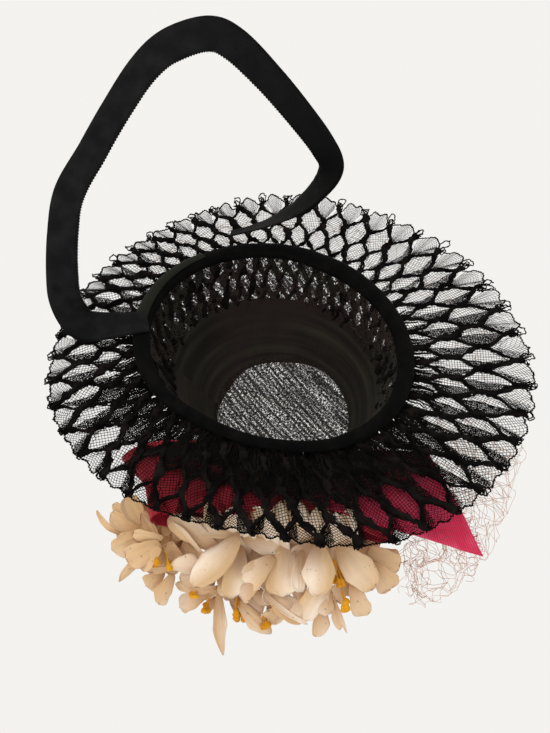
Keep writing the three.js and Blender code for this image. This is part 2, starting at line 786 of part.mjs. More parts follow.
addTrimming('bow_knot', solidOf(bowKnot()), solidOf(bowKnot(FIT)), 'crimson');
for (const strip of BOW_STRIPS) {
  addTrimming(strip.name, solidOf(bowStrip(strip)), solidOf(bowStrip(strip, FIT)), 'crimson');
}
addTrimming('stems', stemSolid(), stemSolid(FIT), 'straw');
FLOWERS.forEach((flower, i) => {
  const name = `flower_${i + 1}`;
  addTrimming(name, flowerSolid(flower, i), flowerSolid(flower, i, FIT), 'petal');
});
STAMENS.flowers.forEach((number, i) => {
  const flower = FLOWERS[number];
  addTrimming(`stamens_${i + 1}`, stamenSolid(flower), stamenSolid(flower, FIT), 'stamen');
});
addPiece('veil', geometryOf(carve(solidOf(veilGeometry()), taken)), 'veil');

export default hat;
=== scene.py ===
"""Looks of a small tilt hat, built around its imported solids.

The hat is a shallow crown of see-through mesh with a bound head opening, a wide brim of
smocked black net, a ribbon head strap, a crimson bow, a cluster of cream cloth flowers and
a scrap of brown veil. Lengths are millimetres until a mesh is made, and metres after that.
+Z is up as the hat is worn and -Y is its front.
"""

import logging
import math
from dataclasses import dataclass
from enum import Enum
from typing import Callable, Sequence

import bpy
import numpy as np
from mathutils import Matrix, Vector


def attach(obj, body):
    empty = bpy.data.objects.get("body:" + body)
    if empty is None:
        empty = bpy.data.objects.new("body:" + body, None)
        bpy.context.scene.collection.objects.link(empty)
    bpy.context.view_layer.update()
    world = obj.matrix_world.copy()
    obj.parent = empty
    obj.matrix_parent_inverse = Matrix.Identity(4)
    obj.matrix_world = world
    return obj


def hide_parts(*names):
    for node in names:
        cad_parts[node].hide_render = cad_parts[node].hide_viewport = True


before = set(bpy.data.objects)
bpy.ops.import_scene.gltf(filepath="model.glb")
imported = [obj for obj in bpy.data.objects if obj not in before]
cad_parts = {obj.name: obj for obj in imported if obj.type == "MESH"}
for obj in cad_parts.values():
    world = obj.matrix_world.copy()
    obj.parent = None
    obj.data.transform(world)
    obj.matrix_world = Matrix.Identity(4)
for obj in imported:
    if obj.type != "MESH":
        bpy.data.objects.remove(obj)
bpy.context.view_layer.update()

Array = np.ndarray
Colour = tuple[float, float, float, float]
Triple = tuple[float, float, float]
Table = tuple[tuple[float, ...], ...]
Socket = bpy.types.NodeSocket
MM = 0.001
TURN = 2 * math.pi
UPWARD = np.array([0, 0, 1.0])
OUTLOOK = (0.0, -0.643, -0.766)  # out of the flowers; the strap's flat side faces it too
LOG = logging.getLogger("hat")


class Slot(Enum):
    """The record's material slots."""

    NET = "net_black"
    GROSGRAIN = "grosgrain_black"
    CROWN_MESH = "crown_mesh_black"
    CRIMSON = "crimson_ribbon"
    PETAL = "petal_cream"
    STAMEN = "stamen_yellow"
    STRAW = "straw_tan"
    VEIL = "veil_brown"


# Small pieces of vector arithmetic


def unit(vectors: Array) -> Array:
    """Vectors divided by their lengths; a zero vector stays as it is."""
    length = np.linalg.norm(vectors, axis=-1, keepdims=True)
    return vectors / np.maximum(length, 1e-9)


def blend(start: Array, end: Array, share: Array) -> Array:
    """The value at a share of the way from start to end: start + (end - start) * share."""
    return start + (end - start) * share


def bell(distance: Array, width: float) -> Array:
    """A bell curve of height 1: exp(-(distance / width)^2)."""
    return np.exp(-((distance / width) ** 2))


def pair(first: Array, second: Array) -> Array:
    """Two values as one plane vector, spread over each other's shape."""
    return np.stack(np.broadcast_arrays(first, second), -1)


def grid(*rows: Array) -> list[Array]:
    """Rows of values as grids, with one axis for each row."""
    return np.meshgrid(*rows, indexing="ij")


def bearing(points: Array) -> Array:
    """The angle about Z at which points lie."""
    return np.arctan2(points[..., 1], points[..., 0])


def around(angle: Array, radius: Array, height: Array | float = 0.0) -> Array:
    """Points from an angle about Z, a radius and a height."""
    return np.stack(np.broadcast_arrays(np.cos(angle) * radius, np.sin(angle) * radius, height), -1)


def level_across(paths: Array) -> Array:
    """The direction across paths that stays nearly level: a tilted Z crossed with the tangent."""
    return unit(np.cross([0.03, 0.02, 1.0], unit(np.gradient(paths, axis=1))))


def smooth_rows(rows: Array, share: Array) -> Array:
    """A Catmull-Rom curve through evenly spaced rows.

    Args:
        rows: Values, one row for each knot, (N, D).
        share: Places along the rows from 0 to 1, any shape.

    Returns:
        The value at each place, share's shape with D at the end.
    """
    rows = np.asarray(rows, float)
    padded = np.concatenate([[2 * rows[0] - rows[1]], rows, [2 * rows[-1] - rows[-2]]])
    place = np.clip(share, 0, 1) * (len(rows) - 1)
    first = np.minimum(place.astype(int), len(rows) - 2)
    part = (place - first)[..., None]
    a, b, c, d = (padded[first + offset] for offset in range(4))
    square = (2 * a - 5 * b + 4 * c - d) * part**2
    return 0.5 * (2 * b + (c - a) * part + square + (3 * b - a - 3 * c + d) * part**3)


def closed_rows(rows: Sequence[float], angle: Array) -> Array:
    """A smooth closed curve through values given at even steps of a turn.

    Args:
        rows: The values.
        angle: Angles in radians, any shape.

    Returns:
        The value at each angle.
    """
    values = np.asarray(rows, float)
    count = len(values)
    place = (angle / TURN % 1) * count
    first = place.astype(int) % count
    share = place - np.floor(place)
    before, start, end, after = (values[(first + offset) % count] for offset in (-1, 0, 1, 2))
    bend = (end - before) / 2 * share * (1 - share) ** 2
    pull = (after - start) / 2 * share**2 * (1 - share)
    return start + (end - start) * share * share * (3 - 2 * share) + bend - pull


def wander(points: Array, size: float, seed: int, axes: int = 3) -> Array:
    """Smooth seeded unevenness: seven sine waves of unlike directions, ever shorter and lower.

    Args:
        points: Places, the last axis being a vector.
        size: Length of the longest wave, in the points' unit.
        seed: Seed of the directions and phases.
        axes: How many independent values to give at each place.

    Returns:
        Values of about -1 to 1, with axes as the last axis.
    """
    random = np.random.default_rng(seed)
    total = np.zeros(points.shape[:-1] + (axes,))
    for number in range(7):
        heading = unit(random.normal(size=(points.shape[-1], axes)).T).T
        length = size * 0.78**number
        phase = random.uniform(0, TURN, axes)
        total += np.sin(points @ heading * (TURN / length) + phase) * 0.82**number
    return total / 2.4


# Surfaces


@dataclass
class Surface:
    """A mesh before it is made.

    Attributes:
        points: Corners in millimetres, (N, 3).
        faces: Face corners, one array for each number of corners, (M, K).
        places: The pattern's place at every face corner in millimetres, (M, K, 2).
    """

    points: Array
    faces: list[Array]
    places: list[Array]

    @staticmethod
    def joined(parts: Sequence["Surface"]) -> "Surface":
        """All parts as one surface.

        Args:
            parts: Surfaces to join; their corners aren't merged.

        Returns:
            The joined surface.
        """
        points, faces, places, first = [], [], [], 0
        for part in parts:
            points.append(part.points)
            faces.extend(f + first for f in part.faces)
            places.extend(part.places)
            first += len(part.points)
        return Surface(np.concatenate(points), faces, places)


def grid_surface(points: Array, places: Array, wrap_u: bool = False, wrap_v: bool = False) -> Surface:
    """A surface from a grid of points.

    Args:
        points: The grid, (U, V, 3). Where it wraps, its last line repeats the first.
        places: The pattern's place at each grid point, (U, V, 2).
        wrap_u: Whether the surface closes on itself along u.
        wrap_v: Whether it closes along v.

    Returns:
        The surface, its repeated lines left out.
    """
    count_u, count_v = points.shape[:2]
    kept_u, kept_v = count_u - wrap_u, count_v - wrap_v
    i, j = grid(np.arange(count_u - 1), np.arange(count_v - 1))
    steps = ((0, 0), (1, 0), (1, 1), (0, 1))
    faces = np.stack([((i + a) % kept_u) * kept_v + (j + b) % kept_v for a, b in steps], -1)
    spots = np.stack([places[i + a, j + b] for a, b in steps], -2)
    return Surface(
        points[:kept_u, :kept_v].reshape(-1, 3),
        [faces.reshape(-1, 4)],
        [spots.reshape(-1, 4, 2)],
    )


def rods(
    paths: Array,
    half_width: Array | float,
    half_height: Array | float | None = None,
    up: Array | Triple = (0.05, 0.03, 1.0),
    sides: int = 3,
    closed: bool = False,
) -> Surface:
    """Closed rods carried along paths, all with the same number of points.

    A corner of the section at angle a lies half_width cos a to the side of the path and
    half_height sin a above it.

    Args:
        paths: Centre lines, (T, K, 3).
        half_width: Half the width, one number or (T, K).
        half_height: Half the height, one number or (T, K); the width where None.
        up: The direction that height runs in, one vector or (T, K, 3).
        sides: Corners of the section.
        closed: Whether each path closes on itself, its last point next to its first.

    Returns:
        The rods, their ends closed.
    """
    count, steps = paths.shape[:2]
    if closed:
        tangent = unit(np.roll(paths, -1, 1) - np.roll(paths, 1, 1))
    else:
        tangent = unit(np.gradient(paths, axis=1))
    side = unit(np.cross(np.broadcast_to(np.asarray(up, float), paths.shape), tangent))
    lift = np.cross(tangent, side)
    wide = np.broadcast_to(np.asarray(half_width, float), (count, steps))[..., None, None]
    tall = wide
    if half_height is not None:
        tall = np.broadcast_to(np.asarray(half_height, float), (count, steps))[..., None, None]
    angle = (np.arange(sides) + 0.5) / sides * TURN
    ring = np.cos(angle)[:, None] * side[:, :, None] * wide
    ring = ring + np.sin(angle)[:, None] * lift[:, :, None] * tall
    points = paths[:, :, None] + ring
    step_length = np.linalg.norm(np.diff(paths, axis=1), axis=2)
    run = np.concatenate([np.zeros((count, 1)), np.cumsum(step_length, 1)], 1)
    links = steps if closed else steps - 1
    t, i, j = grid(np.arange(count), np.arange(links), np.arange(sides))
    corners = ((0, 0), (0, 1), (1, 1), (1, 0))
    faces = [(t * steps + (i + a) % steps) * sides + (j + b) % sides for a, b in corners]
    faces = np.stack(faces, -1)
    girth = wide[..., 0, 0] * TURN / sides
    spots = [pair(run[t, (i + a) % steps], girth[t, i] * (j + b)) for a, b in corners]
    spots = np.stack(spots, -2)
    all_faces, all_spots = [faces.reshape(-1, 4)], [spots.reshape(-1, 4, 2)]
    if not closed:
        ends = np.arange(count)[:, None] * steps * sides + np.arange(sides)
        for cap in (ends[:, ::-1], ends + (steps - 1) * sides):
            all_faces.append(cap)
            all_spots.append(np.zeros(cap.shape + (2,)))
    return Surface(points.reshape(-1, 3), all_faces, all_spots)


def hatch(
    cells: Array, heading: Array, pitch: float, steps: int, seed: int
) -> tuple[Array, Array, Array]:
    """Parallel straight lines cut to convex cells.

    A line lies at a multiple of pitch from the cell's middle. It is cut where it enters the
    last and leaves the first of the half planes that make the cell.

    Args:
        cells: Corners, counterclockwise, (C, E, 2).
        heading: Direction of the lines in each cell, (C,).
        pitch: Distance between lines.
        steps: Points on each line.
        seed: Seed of the lines' offsets.

    Returns:
        The lines, (T, steps, 2), each line's cell, and each point's distance from its
        cell's nearest edge.
    """
    random = np.random.default_rng(seed)
    reach = np.arange(-18, 19)
    middle = cells.mean(1)
    way = pair(np.cos(heading), np.sin(heading))
    across = pair(-way[:, 1], way[:, 0])
    offset = (reach + random.uniform(0, 1, (len(cells), 1))) * pitch
    base = middle[:, None] + across[:, None] * offset[..., None]
    start, end = cells, np.roll(cells, -1, 1)
    edge = unit(end - start)
    inward = pair(-edge[..., 1], edge[..., 0])
    gap = np.einsum("cled,ced->cle", base[:, :, None] - start[:, None], inward)
    rate = np.einsum("cd,ced->ce", way, inward)[:, None]
    meet = -gap / np.where(np.abs(rate) < 1e-6, 1e-6, rate)
    low = np.where(rate > 0, meet, -1e9).max(2)
    high = np.where(rate < 0, meet, 1e9).min(2)
    cell, line = np.nonzero(high - low > pitch * 0.6)
    share = np.linspace(0, 1, steps)
    run = blend(low[cell, line][:, None], high[cell, line][:, None], share)
    plan = base[cell, line][:, None] + way[cell][:, None] * run[..., None]
    away = plan[:, :, None] - start[cell][:, None]
    distance = np.einsum("tked,ted->tke", away, inward[cell]).min(2)
    return plan, cell, np.maximum(distance, 0)


# Node trees


class Tree:
    """A short way to write a node tree."""

    def __init__(self, tree: bpy.types.NodeTree) -> None:
        """Takes a material's or a group's node tree to write in."""
        self.tree = tree

    def fill(self, sockets: Sequence[Socket], values: dict) -> None:
        """Links or sets several inputs.

        Args:
            sockets: A node's inputs.
            values: For an input's name or number, a socket to link from or a value.
        """
        for name, value in values.items():
            if isinstance(value, Socket):
                self.tree.links.new(value, sockets[name])
            else:
                sockets[name].default_value = value

    def add(self, kind: str, inputs: dict | None = None, **settings: object) -> bpy.types.Node:
        """A new node.

        Args:
            kind: The node's type name without its ShaderNode prefix.
            inputs: Sockets or values for its inputs, by name or number.
            **settings: The node's own properties.

        Returns:
            The node.
        """
        node = self.tree.nodes.new(kind if kind.startswith("NodeGroup") else "ShaderNode" + kind)
        for name, value in settings.items():
            setattr(node, name, value)
        self.fill(node.inputs, inputs or {})
        return node

    def pattern(self) -> Socket:
        """The piece's own pattern place, in metres along and across it."""
        return self.add("UVMap", uv_map="pattern").outputs[0]

    def spot(self) -> Socket:
        """The place on the hat in metres."""
        return self.add("TexCoord").outputs["Object"]

    def axis(self, place: Socket, number: int = 0) -> Socket:
        """One coordinate of a place."""
        return self.add("SeparateXYZ", {"Vector": place}).outputs[number]

    def math(self, operation: str, *values: object, clamp: bool = False) -> Socket:
        """The result of a Math node on up to three values."""
        return self.add("Math", dict(enumerate(values)), operation=operation, use_clamp=clamp).outputs[0]

    def times(self, first: object, second: object) -> Socket:
        """The product of two values."""
        return self.math("MULTIPLY", first, second)

    def mix(self, share: object, first: object, second: object) -> Socket:
        """The colour between two others at the given share."""
        return self.add("Mix", {"Factor": share, 6: first, 7: second}, data_type="RGBA").outputs[2]

    def tint(self, colour: object, mask: Socket, weight: float, other: object) -> Socket:
        """A colour moved towards another by a mask times a weight."""
        return self.mix(self.times(mask, weight), colour, other)

    def noise(self, place: Socket, scale: float, detail: float = 2.0) -> Socket:
        """Noise of 0 to 1 at a place."""
        return self.add("TexNoise", {"Vector": place, "Scale": scale, "Detail": detail}).outputs[0]

    def stretch(self, place: Socket, scale: Triple, turn: float = 0.0) -> Socket:
        """A place turned about Z, by an angle in radians, and then scaled."""
        turned = self.add("Mapping", {"Vector": place, "Rotation": (0, 0, turn)}).outputs[0]
        return self.add("Mapping", {"Vector": turned, "Scale": scale}).outputs[0]

    def grain(self, place: Socket, scale: Triple, turn: float = 0.0, detail: float = 0.0) -> Socket:
        """Noise of 0 to 1 at a place turned about Z and then scaled."""
        return self.noise(self.stretch(place, scale, turn), 1.0, detail)

    def steps(self, value: Socket, low: float, high: float) -> Socket:
        """A value remapped so that low gives 0 and high gives 1, clamped."""
        return self.add("MapRange", {"Value": value, "From Min": low, "From Max": high}).outputs[0]

    def bump(self, height: Socket, distance: float) -> Socket:
        """The normal of a height, distance being its full depth in metres."""
        return self.add("Bump", {"Height": height, "Distance": distance}).outputs[0]


def node_group(
    name: str, inputs: dict[str, object], outputs: Sequence[str], write: Callable
) -> bpy.types.NodeTree:
    """A shader node group that gives numbers, made once.

    Args:
        name: Its name.
        inputs: Each input's default value: a number or a vector.
        outputs: Names of its outputs.
        write: Called with the tree and the group's inputs; gives each output's socket.

    Returns:
        The group.
    """
    known = bpy.data.node_groups.get(name)
    if known:
        return known
    group = bpy.data.node_groups.new(name, "ShaderNodeTree")
    for socket, value in inputs.items():
        kind = "NodeSocketFloat" if isinstance(value, float) else "NodeSocketVector"
        made = group.interface.new_socket(socket, in_out="INPUT", socket_type=kind)
        if isinstance(value, float):
            made.default_value = value
    for socket in outputs:
        group.interface.new_socket(socket, in_out="OUTPUT", socket_type="NodeSocketFloat")
    tree = Tree(group)
    made = write(tree, tree.add("NodeGroupInput").outputs)
    tree.fill(tree.add("NodeGroupOutput").inputs, made)
    return group


def write_ribs(tree: Tree, given: Sequence[Socket]) -> dict[str, Socket]:
    """Ribs across a ribbon: |sin| of the place along it over the pitch, less a little noise.

    Args:
        tree: The group's tree.
        given: Its inputs.

    Returns:
        The ribs' height, and clouds that stand both for dust and for painted sheen.
    """
    phase = tree.math("DIVIDE", tree.axis(given["Place"]), given["Pitch"])
    ridge = tree.math("ABSOLUTE", tree.math("SINE", tree.times(phase, math.pi)))
    fine = tree.grain(given["Place"], (900.0, 4200.0, 900.0), detail=1.0)
    # Clouds of dust which also serve as painted sheen on the ribbon.
    dust_and_sheen = tree.steps(tree.noise(given["Place"], 90.0, 4.0), 0.42, 0.75)
    return {"Height": tree.math("SUBTRACT", ridge, tree.times(fine, 0.5)), "DustAndSheen": dust_and_sheen}


def write_fibres(tree: Tree, given: Sequence[Socket]) -> dict[str, Socket]:
    """Twisted thread: fibres are slanting noise stretched along it, tone is large soft noise."""
    fibres = tree.grain(given["Place"], (700.0, 5000.0, 700.0), 0.5, 2.0)
    return {"Height": fibres, "Tone": tree.noise(given["Place"], 60.0, 3.0)}


def shade(colour: Colour, share: float) -> Colour:
    """A colour at a share of its brightness."""
    return tuple(part * share for part in colour[:3]) + (1,)


@dataclass(frozen=True)
class Finish:
    """What a piece is made of.

    Attributes:
        name: The material's name.
        colour: Its usual colour.
    """

    name: str
    colour: Colour

    def surface(self, tree: Tree) -> dict[str, object]:
        """Inputs of the surface node, sockets or values; each kind of finish has its own."""
        raise NotImplementedError(self.name)

    def material(self) -> bpy.types.Material:
        """The material, written when it is first asked for.

        Returns:
            The material.
        """
        known = bpy.data.materials.get(self.name)
        if known:
            return known
        material = bpy.data.materials.new(self.name)
        material.use_nodes = True
        tree = Tree(material.node_tree)
        tree.fill(material.node_tree.nodes["Principled BSDF"].inputs, self.surface(tree))
        return material


@dataclass(frozen=True)
class RibbonFinish(Finish):
    """Ribbed ribbon.

    Attributes:
        dust_sheen_colour: Its colour where it is rubbed or dusty, and where a painted sheen lies.
        pitch: Distance between ribs in metres.
        roughness: Surface roughness.
        sheen: Weight of the soft sheen.
        depth: Depth of the ribs in metres.
        gloss: Specular level.
        shaded_from: Length along the ribbon in metres past which it is painted darker, as
        shade, without its dust and sheen; 0 for a ribbon without that painted shade.
    """

    dust_sheen_colour: Colour
    pitch: float
    roughness: float
    sheen: float
    depth: float = 0.00012
    gloss: float = 0.1
    shaded_from: float = 0.0

    def surface(self, tree: Tree) -> dict[str, object]:
        """Ribs across the ribbon, with clouds of dust and painted sheen on them, painted shade
        on the ground between them, and painted shade further along where shaded_from is set.

        Args:
            tree: The material's tree.

        Returns:
            Inputs of the surface node.
        """
        place = tree.pattern()
        given = {"Place": (0, 0, 0), "Pitch": 0.0007}
        group = node_group("ribbon_ribs", given, ("Height", "DustAndSheen"), write_ribs)
        ribs = tree.add("Group", {"Place": place, "Pitch": self.pitch}, node_tree=group).outputs
        # Dust and painted sheen, in clouds.
        colour = tree.tint(self.colour, ribs["DustAndSheen"], 0.7, self.dust_sheen_colour)
        # Painted shade on the ground between the ribs.
        colour = tree.mix(tree.steps(ribs["Height"], -0.3, 0.6), shade(self.colour, 0.6), colour)
        # Painted shade: further along, the ribbon darkens to a fifth of its colour.
        if self.shaded_from:
            shaded_part = tree.steps(tree.axis(place), self.shaded_from * 0.6, self.shaded_from)
            colour = tree.mix(shaded_part, colour, shade(self.colour, 0.2))
        return {
            "Base Color": colour,
            "Roughness": tree.math("ADD", tree.times(ribs["DustAndSheen"], 0.12), self.roughness),
            "Sheen Weight": self.sheen,
            "Sheen Roughness": 0.45,
            "Specular IOR Level": self.gloss,
            "Normal": tree.bump(ribs["Height"], self.depth),
        }


@dataclass(frozen=True)
class ThreadFinish(Finish):
    """Thread or cord.

    Attributes:
        other: The colour that it drifts to.
        roughness: Surface roughness.
        sheen: Weight of the soft sheen.
        depth: Depth of its fibres in metres.
        gloss: Specular level.
    """

    other: Colour
    roughness: float = 0.75
    sheen: float = 0.1
    depth: float = 0.00008
    gloss: float = 0.08

    def surface(self, tree: Tree) -> dict[str, object]:
        """Fibres along the thread, and a colour that drifts from place to place.

        Args:
            tree: The material's tree.

        Returns:
            Inputs of the surface node.
        """
        group = node_group("twisted_thread", {"Place": (0, 0, 0)}, ("Height", "Tone"), write_fibres)
        fibres = tree.add("Group", {"Place": tree.pattern()}, node_tree=group).outputs
        tone = tree.steps(tree.noise(tree.spot(), 120.0, 3.0), 0.35, 0.65)
        return {
            "Base Color": tree.mix(tone, self.colour, self.other),
            "Roughness": tree.math("ADD", tree.times(fibres["Tone"], 0.2), self.roughness),
            "Sheen Weight": self.sheen,
            "Specular IOR Level": self.gloss,
            "Normal": tree.bump(fibres["Height"], self.depth),
        }


@dataclass(frozen=True)
class MeshFinish(Finish):
    """Stiff open-weave mesh, see-through between its threads.

    Attributes:
        pitch: Distance between threads in metres.
        turn: Angle of the weave on the pattern in radians.
        wall_top: Height in metres up to which the mesh is doubled.
        wall_foot: Height from which it is doubled.
        doubled: How open the doubled mesh is, as a share of the single one.
        sheen_streak_colour: Colour of pale concentric streaks all round the crown, partly its ribbing and
            partly painted sheen.
        blush: Colour where the ribbon behind it tints it.
    """

    pitch: float
    turn: float
    wall_top: float = 0.0595
    wall_foot: float = 0.029
    doubled: float = 0.03
    sheen_streak_colour: Colour = (0.034, 0.031, 0.021, 1)
    blush: Colour = (0.022, 0.012, 0.012, 1)

    def surface(self, tree: Tree) -> dict[str, object]:
        """A fine weave whose threads bunch and part in long slanting streaks, with painted shade
        between its threads and pale concentric streaks that are partly painted sheen.

        A hole is where warp and weft both part; the streaks open and close the holes, and
        the doubled wall shuts nearly all of them.

        Args:
            tree: The material's tree.

        Returns:
            Inputs of the surface node.
        """
        place = tree.pattern()
        rate = 1 / self.pitch
        warp = tree.grain(place, (rate, rate / 3, 1.0), self.turn)
        weft = tree.grain(place, (rate / 3, rate, 1.0), self.turn)
        slub = tree.grain(place, (rate / 4, rate / 60, 1.0), self.turn, 1.0)
        turned = tree.stretch(place, (rate / 6.0, rate / 90, 1.0), self.turn)
        drift = tree.times(tree.noise(turned, 0.35, 1.0), 1.2)
        line = tree.math("SINE", tree.times(tree.math("ADD", tree.axis(turned), drift), TURN))
        slub = tree.math("ADD", slub, tree.times(line, 0.11))
        gaps = tree.times(tree.steps(warp, 0.42, 0.62), tree.steps(weft, 0.4, 0.6))
        level = tree.math("ADD", 0.1, tree.times(tree.steps(slub, 0.38, 0.72), 1.3))
        high = tree.axis(tree.spot(), 2)
        above = tree.steps(high, self.wall_top - 0.002, self.wall_top)
        below = tree.steps(high, self.wall_foot + 0.001, self.wall_foot - 0.001)
        single = tree.math("MAXIMUM", tree.math("MAXIMUM", above, below), self.doubled)
        hole = tree.math("MULTIPLY", tree.times(gaps, level), single, clamp=True)
        height = tree.math("MAXIMUM", warp, weft)
        # Painted shade: the mesh is darker where its threads lie low, between them.
        colour = tree.mix(height, shade(self.colour, 0.4), self.colour)
        # Pale concentric streaks all round: partly the weave's ribbing, partly painted sheen.
        sheen_streaks = tree.grain(place, (6.0, 150.0, 1.0), detail=3.0)
        colour = tree.mix(tree.steps(sheen_streaks, 0.45, 0.75), colour, self.sheen_streak_colour)
        blush = tree.steps(tree.noise(tree.spot(), 14.0, 1.0), 0.5, 0.62)
        return {
            "Alpha": tree.math("SUBTRACT", 1.0, hole),
            "Base Color": tree.tint(colour, blush, 0.6, self.blush),
            "Roughness": 0.7,
            "Sheen Weight": 0.05,
            "Specular IOR Level": 0.12,
            "Normal": tree.bump(height, 0.0002),
        }


@dataclass(frozen=True)
class PetalFinish(Finish):
    """Starched cream cloth.

    Attributes:
        painted_shade: Colour of the painted shade at each petal's base and deep in the cluster.
        stain: Colour of aged places, aged petals and specks.
        middle: How far to -X the cluster's middle lies in metres; petals far from it are tan.
    """

    painted_shade: Colour
    stain: Colour
    middle: float = 0.012

    def surface(self, tree: Tree) -> dict[str, object]:
        """Veins along the petal, a darker heart, stains and small specks.

        Petals deeper in the cluster, against OUTLOOK, are painted darker, as shade.

        Args:
            tree: The material's tree.

        Returns:
            Inputs of the surface node.
        """
        place, spot = tree.pattern(), tree.spot()
        cloud = tree.steps(tree.noise(spot, 45.0, 4.0), 0.4, 0.68)
        own = tree.steps(tree.grain(place, (3.0, 25.0, 1.0)), 0.46, 0.58)
        aside = tree.math("ABSOLUTE", tree.math("ADD", tree.axis(spot), self.middle))
        inward = tree.add("VectorMath", {0: spot, 1: OUTLOOK}, operation="DOT_PRODUCT").outputs["Value"]
        speck = tree.steps(tree.noise(spot, 420.0, 1.0), 0.735, 0.76)
        # Painted shade towards each petal's base.
        colour = tree.tint(self.colour, tree.steps(tree.axis(place), 0.02, 0.002), 0.8, self.painted_shade)
        colour = tree.tint(colour, cloud, 0.5, self.stain)
        colour = tree.tint(colour, own, 0.9, self.stain)
        colour = tree.tint(colour, tree.steps(aside, 0.045, 0.07), 0.75, self.stain)
        # Painted shade: petals deeper in the cluster, against OUTLOOK, are darker.
        colour = tree.tint(colour, tree.steps(inward, 0.046, 0.012), 0.75, self.painted_shade)
        veins = tree.grain(place, (40.0, 1100.0, 40.0), detail=2.0)
        height = tree.math("ADD", veins, tree.times(tree.noise(spot, 2600.0, 1.0), 0.25))
        return {
            "Base Color": tree.tint(colour, speck, 0.75, shade(self.stain, 0.35)),
            "Roughness": 0.62,
            "Subsurface Weight": 0.1,
            "Subsurface Radius": (0.004, 0.0025, 0.0015),
            "Sheen Weight": 0.15,
            "Specular IOR Level": 0.3,
            "Normal": tree.bump(height, 0.0004),
        }


@dataclass(frozen=True)
class FloorFinish(Finish):
    """A plain floor.

    Attributes:
        other: The colour that it drifts to.
    """

    other: Colour

    def surface(self, tree: Tree) -> dict[str, object]:
        """A pale floor with a faint mottle."""
        mottle = tree.noise(tree.spot(), 3.0, 3.0)
        return {"Base Color": tree.mix(mottle, self.colour, self.other), "Roughness": 0.8}


# Its lighter dust clouds stand partly for a painted sheen on the band.
BOUND_EDGE = RibbonFinish(
    "bound_edge", (0.0016, 0.0015, 0.0017, 1), (0.009, 0.0085, 0.0078, 1), 0.0008, 0.8, 0.008, gloss=0.05
)
# Its lighter dust clouds stand partly for a painted sheen, and past 0.36 m along the strap it is painted
# darker, as shade.
BLACK_GROSGRAIN = RibbonFinish(
    "black_grosgrain", (0.0035, 0.0035, 0.0045, 1), (0.021, 0.021, 0.022, 1), 0.0008, 0.62, 0.008,
    shaded_from=0.36,
)
RETURN_GROSGRAIN = RibbonFinish(
    "faded_grosgrain", (0.012, 0.0125, 0.009, 1), (0.022, 0.023, 0.016, 1), 0.0008, 0.8, 0.03
)
CRIMSON_RIBBON = RibbonFinish(
    "crimson_grosgrain", (0.4, 0.005, 0.022, 1), (0.62, 0.035, 0.08, 1), 0.0011, 0.6, 0.05, 0.0002, 0.3
)
# A brighter copy of the crimson grosgrain for the right tail and its frayed threads: painted light.
PAINTED_LIGHT_CRIMSON = RibbonFinish(
    "crimson_painted_light", (0.75, 0.02, 0.09, 1), (0.98, 0.13, 0.27, 1), 0.0011, 0.6, 0.1, 0.0002, 0.3
)
DEEP_CRIMSON = RibbonFinish(
    "crown_grosgrain", (0.08, 0.004, 0.01, 1), (0.12, 0.008, 0.016, 1), 0.0011, 0.7, 0.02, 0.0002
)
ROPE_NET = ThreadFinish(
    "smocked_net", (0.0015, 0.0012, 0.0012, 1), (0.011, 0.0088, 0.008, 1), 0.85, 0.0, 0.0004
)
FINE_NET = ThreadFinish("net_thread", (0.003, 0.003, 0.003, 1), (0.007, 0.006, 0.005, 1), 0.8, 0.0)
BROWN_THREAD = ThreadFinish("veil_thread", (0.5, 0.27, 0.17, 1), (0.74, 0.5, 0.38, 1), 0.6, 0.1)
YELLOW_TIP = ThreadFinish("waxed_stamen", (0.82, 0.4, 0.012, 1), (0.62, 0.25, 0.01, 1), 0.45, 0.1, 0.0002)
STRAW = ThreadFinish("dry_straw", (0.36, 0.23, 0.12, 1), (0.22, 0.12, 0.06, 1), 0.7, 0.1, 0.0002)
CROWN_MESH = MeshFinish("crown_mesh", (0.013, 0.01, 0.0075, 1), 0.0006, 0.75)
# Its second colour is painted shade, at the petals' bases and deep in the cluster.
CREAM_CLOTH = PetalFinish(
    "cream_petal", (1.0, 0.86, 0.72, 1), (0.44, 0.2, 0.075, 1), (0.7, 0.45, 0.22, 1)
)
PALE_FLOOR = FloorFinish("pale_floor", (0.82, 0.815, 0.8, 1), (0.86, 0.855, 0.84, 1))


# Pieces


def make_piece(
    name: str,
    surface: Surface,
    finish: Finish,
    stands_for: Sequence[str] = (),
    wall: float = 0.0,
    smooth: bool = True,
) -> bpy.types.Object:
    """Makes a mesh, dresses it and lets it ride on the hat.

    Args:
        name: The piece's name.
        surface: Its surface in millimetres.
        finish: What it is made of.
        stands_for: Solids that it takes the place of.
        wall: Wall thickness in millimetres that a sheet gets, 0 for none.
        smooth: Whether its faces are shaded smooth.

    Returns:
        The object.
    """
    mesh = bpy.data.meshes.new(name)
    corners = np.concatenate([f.ravel() for f in surface.faces]).astype(np.int32)
    sizes = np.concatenate([np.full(len(f), f.shape[1]) for f in surface.faces])
    starts = np.concatenate([[0], np.cumsum(sizes)[:-1]]).astype(np.int32)
    mesh.vertices.add(len(surface.points))
    mesh.vertices.foreach_set("co", (surface.points * MM).astype(np.float32).ravel())
    mesh.loops.add(len(corners))
    mesh.loops.foreach_set("vertex_index", corners)
    mesh.polygons.add(len(starts))
    mesh.polygons.foreach_set("loop_start", starts)
    mesh.update(calc_edges=True)
    mesh.polygons.foreach_set("use_smooth", np.full(len(starts), smooth))
    places = np.concatenate([p.reshape(-1, 2) for p in surface.places])
    pattern = mesh.uv_layers.new(name="pattern")
    pattern.data.foreach_set("uv", (places * MM).astype(np.float32).ravel())
    mesh.validate()
    mesh.materials.append(finish.material())
    piece = bpy.data.objects.new(name, mesh)
    bpy.context.scene.collection.objects.link(piece)
    if wall:
        shell = piece.modifiers.new("wall", "SOLIDIFY")
        shell.thickness = wall * MM
        shell.offset = 0
    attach(piece, "root")
    if stands_for:
        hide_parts(*stands_for)
    LOG.info("%s: %d corners, %d faces", name, len(surface.points), len(starts))
    return piece


